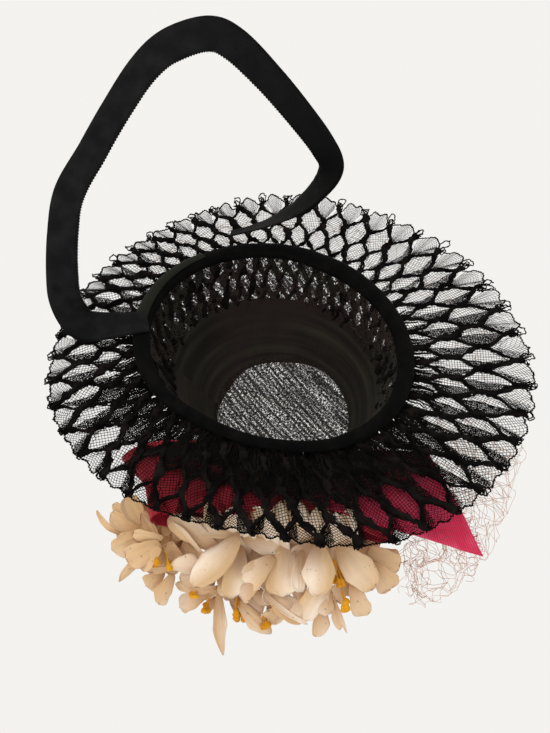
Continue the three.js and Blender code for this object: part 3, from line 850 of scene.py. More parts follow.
@dataclass(frozen=True)
class Plan:
    """The hat in plan: the head band's and the brim's outer edges every 30 degrees.

    Attributes:
        band: Radius of the band's outer edge.
        brim: Radius of the brim's joints and scallops.
        inset: How far inside the band's edge the crown's wall stands.
        narrower: How much less that is at the front.
        band_height: The band's height.
    """

    band: tuple[float, ...] = (87, 86, 83, 82, 82, 84, 88, 92, 89, 82, 81, 86)
    brim: tuple[float, ...] = (133, 125, 126, 138, 146, 158, 166, 163, 154, 137, 141, 144)
    inset: float = 9.5
    narrower: float = 3.6
    band_height: float = 8.0

    def band_edge(self, angle: Array) -> Array:
        """Radius of the band's outer edge at each angle."""
        return closed_rows(self.band, angle)

    def brim_edge(self, angle: Array) -> Array:
        """Radius of the brim's edge at each angle."""
        return closed_rows(self.brim, angle)

    def front(self, angle: Array) -> Array:
        """1 at the front of the hat, falling to 0 at its sides."""
        return np.clip(-np.sin(angle), 0, 1) ** 1.5

    def wall(self, angle: Array) -> Array:
        """Radius of the crown's wall at its rim; the band is narrower at the front."""
        return self.band_edge(angle) - self.inset + self.narrower * self.front(angle)


PLAN = Plan()


@dataclass
class HeadBand:
    """The bound edge of the head opening.

    Attributes:
        width: Width of the roll.
        height: Height of the roll.
        usual: The roll's usual radius, for its pattern and its unevenness.
        seam: Place of the pinching seam, as a share of the way round the section.
        slimmer: Share by which the roll is smaller at the front.
        wider: Share by which it is wider inward at the back right.
        wider_at: Angle of that place in radians.
        return_from: Angle where the strap's turned end starts on the band, in degrees.
        return_to: Angle where it ends.
    """

    width: float = 11.0
    height: float = 8.0
    usual: float = 80.0
    seam: float = 0.62
    slimmer: float = 0.36
    wider: float = 0.5
    wider_at: float = 2.1
    return_from: float = -3.0
    return_to: float = 50.0

    def skin(self, angle: Array, section: Array, lift: float = 0.0) -> Array:
        """The roll: an oval section carried round the opening, pinched a little by its seam.

        Args:
            angle: Angles round the opening.
            section: Angles round the section, 0 outward.
            lift: Distance above the roll.

        Returns:
            Points of the roll.
        """
        pinch = 1 - 0.07 * bell((section / TURN - self.seam) % 1, 0.03)
        wave = wander(around(angle, self.usual), 60.0, 3, 2) * 0.35
        reach = (self.width / 2 * pinch + lift) * np.cos(section) + wave[..., 0]
        rise = (self.height / 2 * pinch + lift) * np.sin(section) + wave[..., 1] * 0.5
        slim = 1 - self.slimmer * PLAN.front(angle)
        wider = 1 + self.wider * bell(angle - self.wider_at, 0.5)
        reach = np.where(reach < 0, reach * wider, reach)
        return around(angle, PLAN.band_edge(angle) - self.width / 2 * slim + reach * slim, rise * slim)

    def build(self) -> None:
        """Builds the cover and the strap's end that is turned along it."""
        angle, section = grid(np.linspace(0, TURN, 289), np.linspace(0, TURN, 33))
        places = pair(angle * self.usual, section * self.width / 2)
        cover = grid_surface(self.skin(angle, section), places, True, True)
        make_piece("head_band_cover", cover, BOUND_EDGE, ["head_band"])
        start, end = math.radians(self.return_from), math.radians(self.return_to)
        angle, share = grid(np.linspace(start, end, 60), np.linspace(0, 1, 13))
        part = (angle - start) / (end - start)
        section = TURN * (0.68 + 0.04 * part + (0.3 - 0.08 * part) * share)
        turned = grid_surface(self.skin(angle, section, 0.55), pair(angle * self.usual, share * 10))
        piece = make_piece("strap_return", turned, RETURN_GROSGRAIN, wall=0.5)


@dataclass
class Crown:
    """The shallow crown of stiff mesh and the ribbon round it.

    Attributes:
        height: Depth of the crown.
        tip_radius: Radius of its flat tip.
        tip: The tip's centre in plan.
        profile_height: Height at each row of the profile, as a share of the depth.
        profile_inward: How far each row has come in: 0 rim, 1 tip's edge, 2 tip's middle.
        tip_from: Row of the profile where the tip starts.
        tuck: How far the rim is tucked down behind the band.
        ribbon: Rows of the profile where the ribbon starts and ends.
    """

    height: float = 57.0
    tip_radius: float = 42.0
    tip: Triple = (-13.0, -14.0, 0.0)
    profile_height: tuple[float, ...] = (0, 0.3, 0.6, 0.86, 0.97, 1.0, 1.03, 1.04)
    profile_inward: tuple[float, ...] = (0, 0.2, 0.46, 0.76, 0.98, 1.3, 1.65, 2)
    tip_from: float = 3.9
    tuck: float = 3.6
    ribbon: tuple[float, float] = (1.4, 3.9)

    def skin(self, angle: Array, row: Array, lift: Array | float = 0.0) -> Array:
        """The crown: plan ovals that shrink from the rim to the tip as they rise.

        Args:
            angle: Angles round the crown.
            row: Place in the profile's rows.
            lift: Distance outside the wall.

        Returns:
            Points of the crown.
        """
        rows = np.stack([self.profile_height, self.profile_inward], 1)
        rise, inward = np.moveaxis(smooth_rows(rows, row / (len(rows) - 1)), -1, 0)
        centre = np.array(self.tip)
        rim, tip = around(angle, PLAN.wall(angle)), centre + around(angle, self.tip_radius)
        share = inward[..., None]
        plan = np.where(share < 1, blend(rim, tip, share), blend(tip, centre, share - 1))
        tucked = self.tuck * np.clip(1 - row / 0.4, 0, 1)
        plan[..., 2] = PLAN.band_height / 2 + 0.3 + rise * self.height - tucked
        slope = np.clip(share, 0, 1)
        normal = unit(around(angle, 1.0) * (1.15 - slope) + UPWARD * (0.35 + 0.65 * slope))
        return plan + normal * np.asarray(lift)[..., None]

    def build(self) -> None:
        """Builds the mesh shell, dented and creased at its tip, and the ribbon round it."""
        angle, row = grid(np.linspace(0, TURN, 181), np.linspace(0, 7, 71))
        plain = self.skin(angle, row)
        on_tip = row > self.tip_from
        dent = wander(plain, 46.0, 11, 1)[..., 0] * 0.8 * np.minimum(row, 1)
        crease = bell(plain[..., 1] + 38, 3) * 2.2 * bell(plain[..., 0] + 38, 16) * on_tip
        points = self.skin(angle, row, dent - crease)
        points[:, -1] = points[:, -1].mean(0)
        places = np.where(on_tip[..., None], points[..., :2], pair(angle * 62, row * 17))
        shell = grid_surface(points, places, True)
        piece = make_piece("crown_shell", shell, CROWN_MESH, ["crown"])

        angle, row = grid(np.linspace(0, TURN, 181), np.linspace(*self.ribbon, 19))
        edge = (row - self.ribbon[0]) / (self.ribbon[1] - self.ribbon[0])
        sag = 0.12 * np.sin(2 * angle + 0.6) + 0.07 * np.sin(5 * angle)
        sag = sag - 0.7 * np.clip(-np.cos(angle - 0.1), 0, 1) ** 2 * (1 - edge)
        wrinkle = 0.5 * wander(pair(angle * 12, row * 14), 26.0, 5, 1)[..., 0]
        points = self.skin(angle, row + sag * (0.4 + 0.6 * edge), 1.6 + wrinkle)
        ribbon = grid_surface(points, pair(angle * 55, row * 13), True)
        piece = make_piece("crown_ribbon", ribbon, DEEP_CRIMSON, ["crown_band"], wall=0.4)


@dataclass
class Brim:
    """The brim of smocked net: ropes, fine net in every opening, gathers, fans and edge.

    Attributes:
        columns: Nodes in a row of smocking.
        twist: Share of a column by which the inner rows trail.
        seat: Height of the brim's underside at the band.
        lift: Rise from there to the edge.
        rows: Rows of nodes as shares of the brim's width: rim, inner, middle, outer, joint.
        mean_width: The brim's usual width, for sizes given in millimetres.
        gap: Distance between the crown's wall and the brim.
        rope: Half the width of a rope.
        steps: Points of a rope in each row.
        strands: Folds of net that lie twisted in a rope.
        pitch: Distance between the net's threads.
        thread: Radius of a thread.
        scallop: How far the scallops stand out beyond the joints at the sides.
        swing: How much further they do at the back.
        fan_size: Width and length of a flattened fan.
        back: Sine of the angle from where a fan is at the back.
    """

    columns: int = 46
    twist: float = 0.35
    seat: float = 4.3
    lift: float = 3.0
    rows: tuple[float, ...] = (0.0, 0.17, 0.39, 0.64, 0.94)
    mean_width: float = 62.0
    gap: float = 1.2
    rope: float = 1.45
    steps: int = 14
    strands: int = 3
    pitch: float = 1.75
    thread: float = 0.165
    scallop: float = 4.5
    swing: float = 6.5
    fan_size: tuple[float, float] = (20.5, 26.0)
    back: float = 0.25

    def whole(self) -> Array:
        """The number of every column."""
        return np.arange(self.columns, dtype=float)

    def angle(self, column: Array) -> Array:
        """The angle at which a column lies on the outer rows."""
        return column / self.columns * TURN

    def start(self, angle: Array) -> Array:
        """Radius where the brim leaves the crown."""
        return PLAN.wall(angle) + self.gap

    def level(self, share: Array) -> Array:
        """Height of the net's middle at a share of the brim's width."""
        return self.seat + 1 + self.lift * np.maximum(share - self.rows[1], 0)

    def point(self, column: Array, share: Array, rise: Array | float = 0.0) -> Array:
        """A point of the brim: the share of the way out at a column of the smocking.

        Args:
            column: Column number, whole or between.
            share: Share of the brim's width.
            rise: Height above the middle of the net.

        Returns:
            Points.
        """
        angle = self.angle(column + self.twist * (1 - share))
        radius = blend(self.start(angle), PLAN.brim_edge(angle), share)
        return around(angle, radius, self.level(share) + rise)

    def height_at(self, plan: Array) -> Array:
        """The net's height over a place in plan.

        Args:
            plan: Places, (..., 2).

        Returns:
            Their heights.
        """
        angle = bearing(plan)
        start = self.start(angle)
        return self.level((np.linalg.norm(plan, axis=-1) - start) / (PLAN.brim_edge(angle) - start))

    def rope_paths(self, side: int) -> Array:
        """Centre lines of one family of ropes.

        From each rim node a rope runs half a column on, or back, in every row. Between
        nodes it swings in an S, so that the openings are rounded.

        Args:
            side: 1 for the ropes that run on, -1 for those that run back.

        Returns:
            Lines, (columns, K, 3).
        """
        part = np.arange(self.steps * 4 + 1) / self.steps
        row = np.minimum(part.astype(int), 3)
        inside = part - row
        shares = np.asarray(self.rows)
        share = blend(shares[row], shares[row + 1], inside)
        swing = part - 0.13 * np.sin(TURN * inside)
        random = np.random.default_rng(40 + side)
        column = np.arange(self.columns)[:, None] + 0.5 + side * 0.5 * swing
        drift = wander(pair(column * 3, part * 4), 9.0, 60 + side, 2)
        uneven = random.normal(0, 0.03, (self.columns, 1)) * (part / 4)
        full = column + 0.035 * drift[..., 0] + uneven
        return self.point(full, share + 0.007 * drift[..., 1], side * 0.5)

    def fullness(self, paths: Array) -> Array:
        """How thick ropes are: full at the front, usual at the sides, thin at the back."""
        angle = bearing(paths)
        return 1.02 - 0.13 * np.sin(angle) - 0.05 * np.abs(np.cos(angle))

    def weave(self, families: Sequence[Array], factor: float = 1.0) -> Surface:
        """Threads along families of lines, heavier at the front than at the back."""
        gauge = self.thread * factor
        return Surface.joined([rods(f, gauge * (1 - 0.24 * np.sin(bearing(f)))) for f in families])

    def ropes(self, side: int, weight: float) -> Surface:
        """One family of ropes: folds of net twisted together, with ragged outlines.

        Args:
            side: 1 for the ropes that run on, -1 for those that run back.
            weight: Factor on the width.

        Returns:
            The ropes.
        """
        paths = self.rope_paths(side)
        swell = 1 + 0.12 * np.cos(np.linspace(0, 4, paths.shape[1]) * TURN)
        patchy = 1 + 0.34 * wander(paths, 8.0, 311 + side, 1)[..., 0]
        return self.twisted(paths, self.rope * weight * swell * self.fullness(paths) * patchy, 8 + side)

    def twisted(self, paths: Array, size: Array, seed: int) -> Surface:
        """Folds of net twisted together along paths.

        The centre of a fold turns about the path at 0.5 of the half width, plus a wander of
        its own; its width swells and shrinks along it.

        Args:
            paths: The ropes' lines, (T, K, 3).
            size: Half width at every point, (T, K).
            seed: Seed of the folds.

        Returns:
            The folds.
        """
        count, steps = paths.shape[:2]
        random = np.random.default_rng(seed)
        across = level_across(paths)
        run = np.linspace(0, 1, steps)
        parts = []
        for strand in range(self.strands):
            phase = random.uniform(0, TURN, (count, 1)) + TURN * strand / self.strands
            turn = phase + run * random.uniform(9, 15, (count, 1)) * steps / 57
            own = wander(paths, 5.0, 300 + 7 * strand + seed, 2)
            offset = (0.5 * np.cos(turn) + 0.3 * own[..., 0]) * size
            rise = (0.5 * np.sin(turn) + 0.3 * own[..., 1]) * size
            line = paths + across * offset[..., None] + UPWARD * rise[..., None]
            noise = random.normal(size=(count, steps))
            noise = (noise + np.roll(noise, 1, 1) + np.roll(noise, -1, 1)) / 3
            wide = size * (0.6 + 0.34 * noise)
            parts.append(rods(line, np.maximum(wide, 0.25), wide * 0.8 + 0.1, sides=6))
        return Surface.joined(parts)

    def fuzz(self, side: int, weight: float) -> Surface:
        """Loose threads of the net that stand off the ropes and make their outlines ragged.

        Args:
            side: 1 for the ropes that run on, -1 for those that run back.
            weight: Factor on how far the threads stand off.

        Returns:
            The threads.
        """
        paths = self.rope_paths(side)
        random = np.random.default_rng(71 + side)
        count = self.columns * 46
        rope = random.integers(0, self.columns, count)
        step = random.integers(4, paths.shape[1] - 5, count)
        run = np.arange(-3, 4)
        line = paths[rope[:, None], step[:, None] + run]
        first, last = random.uniform(-2.3, 2.3, (2, count, 1))
        off = blend(first, last, (run + 3) / 6) + 0.25 * np.sin(run * 1.7 + first * 9)
        line = line + level_across(line) * (off * self.fullness(line) * self.rope * weight)[..., None]
        line[..., 2] += random.normal(0, 0.9, (count, 1))
        return self.weave([line], 0.85)

    def collar(self) -> Surface:
        """Ropes that carry the smocking on up the crown's side, to the foot of its ribbon.

        In each of two rows a rope moves on, or back, by half a column, while it rises by
        0.75 of a row of the crown's profile.

        Returns:
            The ropes.
        """
        part = np.linspace(0, 2, 29)
        parts = []
        for side in (-1, 1):
            drift = 0.5 * side * (part - 0.12 * np.sin(TURN * part))
            column = np.arange(self.columns)[:, None] + drift
            column = column + 0.06 * wander(pair(column * 3, part), 9.0, 5, 1)[..., 0]
            angle = self.angle(column + self.twist + 0.5)
            paths = Crown().skin(angle, 0.08 + 0.75 * part, 2.2 + 0.5 * side)
            shut = np.clip(np.cos(angle - 0.1), 0, 1)
            size = 1.9 + 0.5 * wander(paths, 9.0, 90 + side, 1)[..., 0] + 1.3 * shut
            size = size + 0.7 * np.clip(-np.cos(angle), 0, 1) ** 2
            parts.append(self.twisted(paths, size, 95 + side))
        return Surface.joined(parts)

    def pleats(self) -> Surface:
        """Short gathered pleats round the band, dense at the front and none at the back.

        Returns:
            The pleats.
        """
        count = self.columns * 6
        random = np.random.default_rng(21)
        column = (np.arange(count) / 6)[:, None]
        dense = np.clip(0.95 - 1.15 * np.sin(self.angle(column)), 0.0, 1.4)
        kept = random.uniform(0, 1, count) < dense[:, 0]
        column, dense = column[kept], dense[kept]
        share = np.linspace(-0.01, 0.2, 9) * (0.6 + dense * random.uniform(0.3, 1.2, column.shape))
        drift = wander(pair(column * 2, share * 30), 7.0, 22, 2)
        rise = random.uniform(-1.5, 1.2, column.shape) + drift[..., 1] * 0.5
        paths = self.point(column + drift[..., 0] * 0.12, share, rise)
        size = random.uniform(0.55, 1.25, column.shape) * np.linspace(1.15, 0.45, 9)
        return rods(paths, size, size * 0.8, sides=5)

    def quads(self) -> Array:
        """The openings between the ropes.

        Returns:
            Corners in plan, (C, 4, 2): out, on, in, back.
        """
        rim, inner, middle, outer, joint = self.rows
        whole = self.whole()
        half = whole + 0.5
        sets = (
            ((half, joint), (whole + 1, outer), (half, middle), (whole, outer)),
            ((whole, outer), (half, middle), (whole, inner), (whole - 0.5, middle)),
            ((half, middle), (whole + 1, inner), (half, rim), (whole, inner)),
        )
        made = [[self.point(c, np.full_like(c, s))[:, :2] for c, s in corners] for corners in sets]
        return np.concatenate([np.stack(quad, 1) for quad in made])

    def threads(self, cells: Array, heading: Array, pitch: float, puff: Array, seed: int) -> Array:
        """Threads across cells of the brim, one family of them, on a shallow dome.

        The net stands off its plane by puff * (1 - exp(-distance to the cell's edge / 3)).

        Args:
            cells: Corners in plan, counterclockwise, (C, E, 2).
            heading: Direction of the threads in each cell.
            pitch: Distance between threads.
            puff: Height of each cell's dome.
            seed: Seed of the unevenness.

        Returns:
            Lines of four points, (T, 4, 3).
        """
        plan, cell, distance = hatch(cells, heading, pitch, 4, seed)
        rise = puff[cell][:, None] * (1 - np.exp(-distance / 3))
        plan = plan + wander(plan, 15.0, 77, 2) * 0.5
        return np.concatenate([plan, (self.height_at(plan) + rise)[..., None]], -1)

    def cell_net(self) -> Surface:
        """The fine net in the openings: two families of threads in every cell.

        Returns:
            The threads.
        """
        cells = self.quads()
        random = np.random.default_rng(5)
        heading = bearing(cells.mean(1)) + random.normal(0, 0.35, len(cells))
        crossing = heading + TURN / 4 + random.normal(0, 0.16, len(cells))
        puff = random.uniform(-1.6, 1.6, len(cells))
        ways = ((heading, 6), (crossing, 7))
        return self.weave([self.threads(cells, way, self.pitch, puff, seed) for way, seed in ways])

    def lower_parts(self) -> Array:
        """The strips of the openings where the net is gathered.

        Each opening at the sides has two triangles along its front edges, up to 0.55 of the
        way to its back corner. They get narrower towards the back and the front.

        Returns:
            Corners in plan, counterclockwise, (C, 4, 2).
        """
        cells = self.quads()
        middle = cells.mean(1)
        aside = np.abs(middle[:, 0]) / np.linalg.norm(middle, axis=-1)
        right = middle[:, 0] > 0
        each = np.arange(len(cells))
        first, other = cells[each, np.where(right, 3, 1)], cells[each, np.where(right, 1, 3)]
        share = 0.55 * aside**2 * np.random.default_rng(27).uniform(0.6, 1.25, len(cells))
        top = blend(first, other, share[:, None])
        sides = ((cells[:, 0], first), (first, cells[:, 2]))
        halves = [np.stack([a, (a + b) / 2, b, top], 1)[share > 0.14] for a, b in sides]
        cells = np.concatenate(halves)
        x, y = cells[..., 0], cells[..., 1]
        area = np.sum(x * np.roll(y, -1, 1) - y * np.roll(x, -1, 1), 1)
        return np.where((area < 0)[:, None, None], cells[:, ::-1], cells)

    def gathers(self) -> Surface:
        """The gathered strips, and the folded net at the front.

        Four families of threads lie over one another there.

        Returns:
            The threads.
        """
        inner = self.quads()[self.columns :]
        middle = inner.mean(1)
        front = -middle[:, 1] / np.linalg.norm(middle, axis=-1)
        cells = np.concatenate([self.lower_parts(), inner[front > 0.45]])
        random = np.random.default_rng(28)
        heading = bearing(cells.mean(1))
        families = []
        for number in range(4):
            turn = heading + number * TURN / 8 + random.normal(0, 0.25, len(cells))
            puff = random.uniform(-3.0, 2.5, len(cells))
            families.append(self.threads(cells, turn, 1.05, puff, 80 + number))
        return self.weave(families, 1.2)

    def fan(self, column: Array, across: Array, out: Array, tuck: Array | float = 0.0) -> Array:
        """A place in the fan of net from an outer node to its scallop.

        The edge goes from joint to joint, bulging by (1 - |across|^2.4)^0.7; a place lies
        the share out of the way from the node to the edge, on soft flutes.

        Args:
            column: Column of the node.
            across: -1 at one joint, 1 at the next.
            out: 0 at the node, 1 at the edge.
            tuck: Extra height.

        Returns:
            Points.
        """
        outer, joint = self.rows[3:]
        sine = np.sin(self.angle(column))
        bulge = np.maximum(1 - np.abs(across) ** 2.4, 0) ** 0.7
        extra = 0.7 * np.sin(across * 6.1 + column * 2.1) * bulge
        share = joint + ((self.scallop + self.swing * sine) * bulge + extra) / self.mean_width
        edge_column = column + 0.5 * across * np.minimum(0.88 - 0.2 * sine, 1)
        rise = (0.8 + 2.2 * bulge) * out + 1.3 * np.sin(across * 5 + column) * out**2
        return self.point(blend(column, edge_column, out), blend(outer, share, out), rise + tuck)

    def fan_lines(
        self, columns: Array, shape: Array, turn: Array, pitch: float, tuck: float, seed: int
    ) -> Array:
        """Straight threads laid on fans.

        A fan is flattened to a triangle as wide as a column and fan_size long: a place s
        aside and t out of its node is across = s / (t / length * half a column), out =
        t / length.

        Args:
            columns: Columns of the fans.
            shape: Corners of the part to fill, as shares of width and length, (C, E, 2).
            turn: Direction of the threads on each fan.
            pitch: Distance between threads.
            tuck: Height above the fan.
            seed: Seed of the threads' places.

        Returns:
            Lines, (T, 6, 3).
        """
        size = np.array(self.fan_size)
        plan, cell, _ = hatch(shape * size, turn, pitch, 6, seed)
        place = plan / size
        out = np.clip(place[..., 1], 0.02, 1)
        across = np.clip(place[..., 0] / out * 2, -1, 1)
        return self.fan(columns[cell][:, None], across, out, tuck)

    def fan_net(self) -> Surface:
        """The net of the fans: a square grid, spread into rays and arcs at the back.

        Returns:
            The threads.
        """
        whole = self.whole()
        angle = self.angle(whole)
        random = np.random.default_rng(31)
        at_back = np.sin(angle) > self.back
        side = np.where(np.cos(angle) > 0, -1.0, 1.0)
        corners = np.array([[-0.05, 0.12], [-0.5, 1.0], [0.5, 1.0], [0.17, 0.34]])
        shape = corners[None] * pair(side, 1.0)[:, None]
        shape = np.where((side > 0)[:, None, None], shape[:, ::-1], shape)[~at_back]
        turn = random.normal(0.785, 0.2, self.columns)[~at_back]
        families = [
            self.fan_lines(whole[~at_back], shape, turn, self.pitch, 0.0, 41),
            self.fan_lines(whole[~at_back], shape, turn + TURN / 4, self.pitch, 0.0, 42),
        ]
        column = whole[at_back][:, None, None]
        spread = np.linspace(-0.97, 0.97, 14)[:, None]
        spread = spread + random.normal(0, 0.015, (len(column), 14, 1))
        families.append(self.fan(column, spread, np.linspace(0.1, 1, 6)).reshape(-1, 6, 3))
        level = np.linspace(0.2, 0.97, 12)[:, None]
        level = level + random.normal(0, 0.008, (len(column), 12, 1))
        across = np.linspace(-0.98, 0.98, 6)
        arcs = self.fan(column, across, level + 0.05 * np.cos(across * 2.6) - 0.05)
        return self.weave(families + [arcs.reshape(-1, 6, 3)], 0.9)

    def fan_folds(self) -> Surface:
        """Three more layers of net in each fan, folded over beside its front joint.

        Returns:
            The threads.
        """
        whole = self.whole()
        angle = self.angle(whole)
        random = np.random.default_rng(35)
        width = 0.12 + 0.3 * np.clip(0.6 - np.sin(angle), 0, 1)
        width = width + random.uniform(-0.08, 0.1, self.columns)
        side = np.where(np.cos(angle) > 0, -1.0, 1.0)
        shape = np.stack([pair(0 * side, 0.06), pair(side * 0.5, 1.0), pair(side * (0.5 - width), 0.93)], 1)
        shape = np.where((side < 0)[:, None, None], shape[:, ::-1], shape)
        families = []
        for number in range(3):
            turn = random.normal(1.0 * number, 0.3, self.columns)
            families.append(self.fan_lines(whole, shape, turn, 1.15, 1.4 - 1.3 * number, 50 + number))
        return self.weave(families, 1.1)

    def edge(self) -> Surface:
        """The picot edge: a beaded thread along the scallops, and ears at the joints.

        Returns:
            The thread and the ears.
        """
        across = np.linspace(-1, 1, 57)[:-1]
        line = self.fan(self.whole()[:, None], across, 1.0).reshape(1, -1, 3)
        steps = np.arange(line.shape[1])
        bead = 0.36 + 0.22 * np.abs(np.sin(steps * 0.8)) ** 3
        outward = unit(line * np.array([1, 1, 0]))
        line = line + outward * (0.45 * np.sin(steps * 1.6))[None, :, None]
        line = line + wander(line, 8.0, 9) * 0.5
        return Surface.joined([rods(line, bead[None], sides=5, closed=True), self.ears()])

    def ears(self) -> Surface:
        """Small crumpled loops where two scallops meet: a few open teardrops of thread.

        Returns:
            The loops.
        """
        column = self.whole()[:, None]
        loop = np.linspace(0, TURN, 21)[:-1]
        random = np.random.default_rng(14)
        sine = np.sin(self.angle(column + 0.5))
        parts = []
        for layer in range(5):
            size = (1.0 - 0.15 * layer) * random.uniform(0.75, 1.15, column.shape)
            lean = random.normal(0, 0.05, column.shape)
            far = size * (7.2 + 3.6 * sine) * (1 - np.cos(loop)) / 2
            wide = size * (0.1 - 0.02 * sine) * np.sin(loop) * (0.5 + far / 7)
            place = column + 0.5 + lean * far / 6 + wide
            rise = 1.0 * layer - 1.5 + random.normal(0, 1.0, column.shape) * far / 6
            paths = self.point(place, self.rows[4] + (far - 2.0) / self.mean_width, rise)
            paths = paths + wander(paths, 4.0, 15 + layer) * 0.9
            bead = 0.32 + 0.24 * np.sin(np.arange(20) * 1.3 + layer) ** 2
            parts.append(rods(paths, bead, sides=4, closed=True))
        return Surface.joined(parts)

    def build(self) -> None:
        """Builds the brim's pieces."""
        heavy = Surface.joined([self.ropes(-1, 1.3), self.fuzz(-1, 1.25), self.pleats()])
        make_piece("brim_ropes", heavy, ROPE_NET, ["brim"])
        light = Surface.joined([self.ropes(1, 0.92), self.fuzz(1, 1.0)])
        make_piece("brim_ropes_across", light, ROPE_NET)
        make_piece("brim_net", self.cell_net(), FINE_NET, smooth=False)
        make_piece("brim_gathers", self.gathers(), FINE_NET, smooth=False)
        fans = Surface.joined([self.fan_net(), self.fan_folds()])
        make_piece("brim_fans", fans, FINE_NET, smooth=False)
        make_piece("brim_edge", self.edge(), ROPE_NET)
        make_piece("brim_collar", self.collar(), ROPE_NET)


def ribbon_grid(
    path: Array, side: Array, width: Array, steps: int, across: int
) -> tuple[Array, Array, Array, Array, Array]:
    """A flat ribbon along a smooth line, ready to be rippled.

    Args:
        path: Knots of the centre line, (N, 3).
        side: Direction of the width at each knot, (N, 3).
        width: Width at each knot, (N,).
        steps: Points along it.
        across: Points across it.

    Returns:
        The grid of points, the normals, the share along, the share across from -1 to 1, and
        the run along it in millimetres.
    """
    share = np.linspace(0, 1, steps)
    line = smooth_rows(path, share)
    tangent = unit(np.gradient(line, axis=0))
    way = smooth_rows(side, share)
    way = unit(way - tangent * np.sum(way * tangent, -1, keepdims=True))
    full = np.interp(share * (len(width) - 1), np.arange(len(width)), width)
    v = np.linspace(-1, 1, across)
    points = line[:, None] + way[:, None] * (v[:, None] * full[:, None, None] / 2)
    normal = np.broadcast_to(np.cross(tangent, way)[:, None], points.shape)
    run = np.concatenate([[0], np.cumsum(np.linalg.norm(np.diff(line, axis=0), axis=1))])
    along, aside = grid(share, v)
    return points, normal, along, aside, np.broadcast_to(run[:, None], along.shape)


@dataclass
class Strap:
    """The ribbon strap, folded along its outer edge, with a picot inner edge.

    Attributes:
        width: Usual width.
        rows: x, y, z, width share and lean in degrees at each knot.
    """

    width: float = 16.5
    rows: Table = (
        (78, -2, -5.5, 0.9, 38), (90, -6, -6, 1, 34), (103, -11, -7.5, 1.05, 20),
        (116, -15, -12, 1.15, 8), (124.5, -11, -25, 1.15, 0), (127, -5, -40, 1.1, 0),
        (127.5, 9, -62, 1.05, 0), (124.5, 22, -82, 1.05, 0), (113, 37, -101, 1, 0),
        (101, 52, -120, 1, 0), (87, 69, -138, 1.05, 0), (73, 79, -148, 1.15, 0),
        (53, 86, -153, 1.15, 0), (38, 84, -149, 1.1, 0), (18, 77, -135, 1, 6),
        (-1.5, 71, -117, 0.95, 12), (-17, 68, -99, 0.9, 16), (-24, 67, -85, 0.9, 20),
        (-20, 67, -69, 0.85, 24), (-9, 70, -49, 0.8, 36), (6, 76, -29, 0.65, 50),
        (22, 84, -11, 0.5, 60), (36, 84, -4, 0.4, 60),
    )

    def build(self) -> None:
        """Builds the ribbon: a loop of two layers that share the fold at the outer edge."""
        table = np.array(self.rows, float)
        path = table[:, :3]
        tangent = unit(np.gradient(path, axis=0))
        across = unit(np.cross(tangent, np.array(OUTLOOK)))
        lean = np.radians(table[:, 4])[:, None]
        side = across * np.cos(lean) + np.cross(tangent, across) * np.sin(lean)
        width = table[:, 3] * self.width
        points, normal, _, v, run = ribbon_grid(path, side, width, 1500, 9)
        picot = 0.6 * np.abs(np.sin(run * math.pi / 1.9)) * (v > 0.9)
        way = unit(points[:, -1:] - points[:, :1])
        wave = wander(pair(run, v * 6), 70.0, 4, 2)
        crumple = wander(pair(run, v * 14), 17.0, 6, 1)[..., 0]
        bulge = 0.9 * (1 - v**2) + 0.7 * wave[..., 0] + 0.8 * crumple * np.clip(wave[..., 1], 0, 1)
        front = points + way * picot[..., None] + normal * (bulge + 0.28)[..., None]
        rear = points + way * (picot * 0.8)[..., None] + normal * (bulge * 0.4 - 0.42)[..., None]
        fold = points[:, :1] - way * 0.25
        sheet = np.concatenate([front[:, 1:][:, ::-1], fold, rear[:, 1:]], 1)
        spread = np.concatenate([v[:, 1:][:, ::-1], v[:, :1], -2 - v[:, 1:]], 1)
        length = np.broadcast_to(run[:, :1], spread.shape)
        surface = grid_surface(sheet, pair(length, spread * self.width / 2))
        piece = make_piece("strap_ribbon", surface, BLACK_GROSGRAIN, ["strap"], wall=0.3)


@dataclass(frozen=True)
class Strip:
    """One strip of the bow.

    Attributes:
        name: The piece's name.
        node: The solid that it stands for.
        rows: x, y, z, width and swing of the ribbon's side at each knot.
        slant: How far one end corner runs ahead of the other.
        pleats: Depth of the pleats at the knot.
        both_ends: Whether both ends are gathered at the knot.
    """

    name: str
    node: str
    rows: Table
    slant: float = 0.0
    pleats: float = 2.2
    both_ends: bool = False


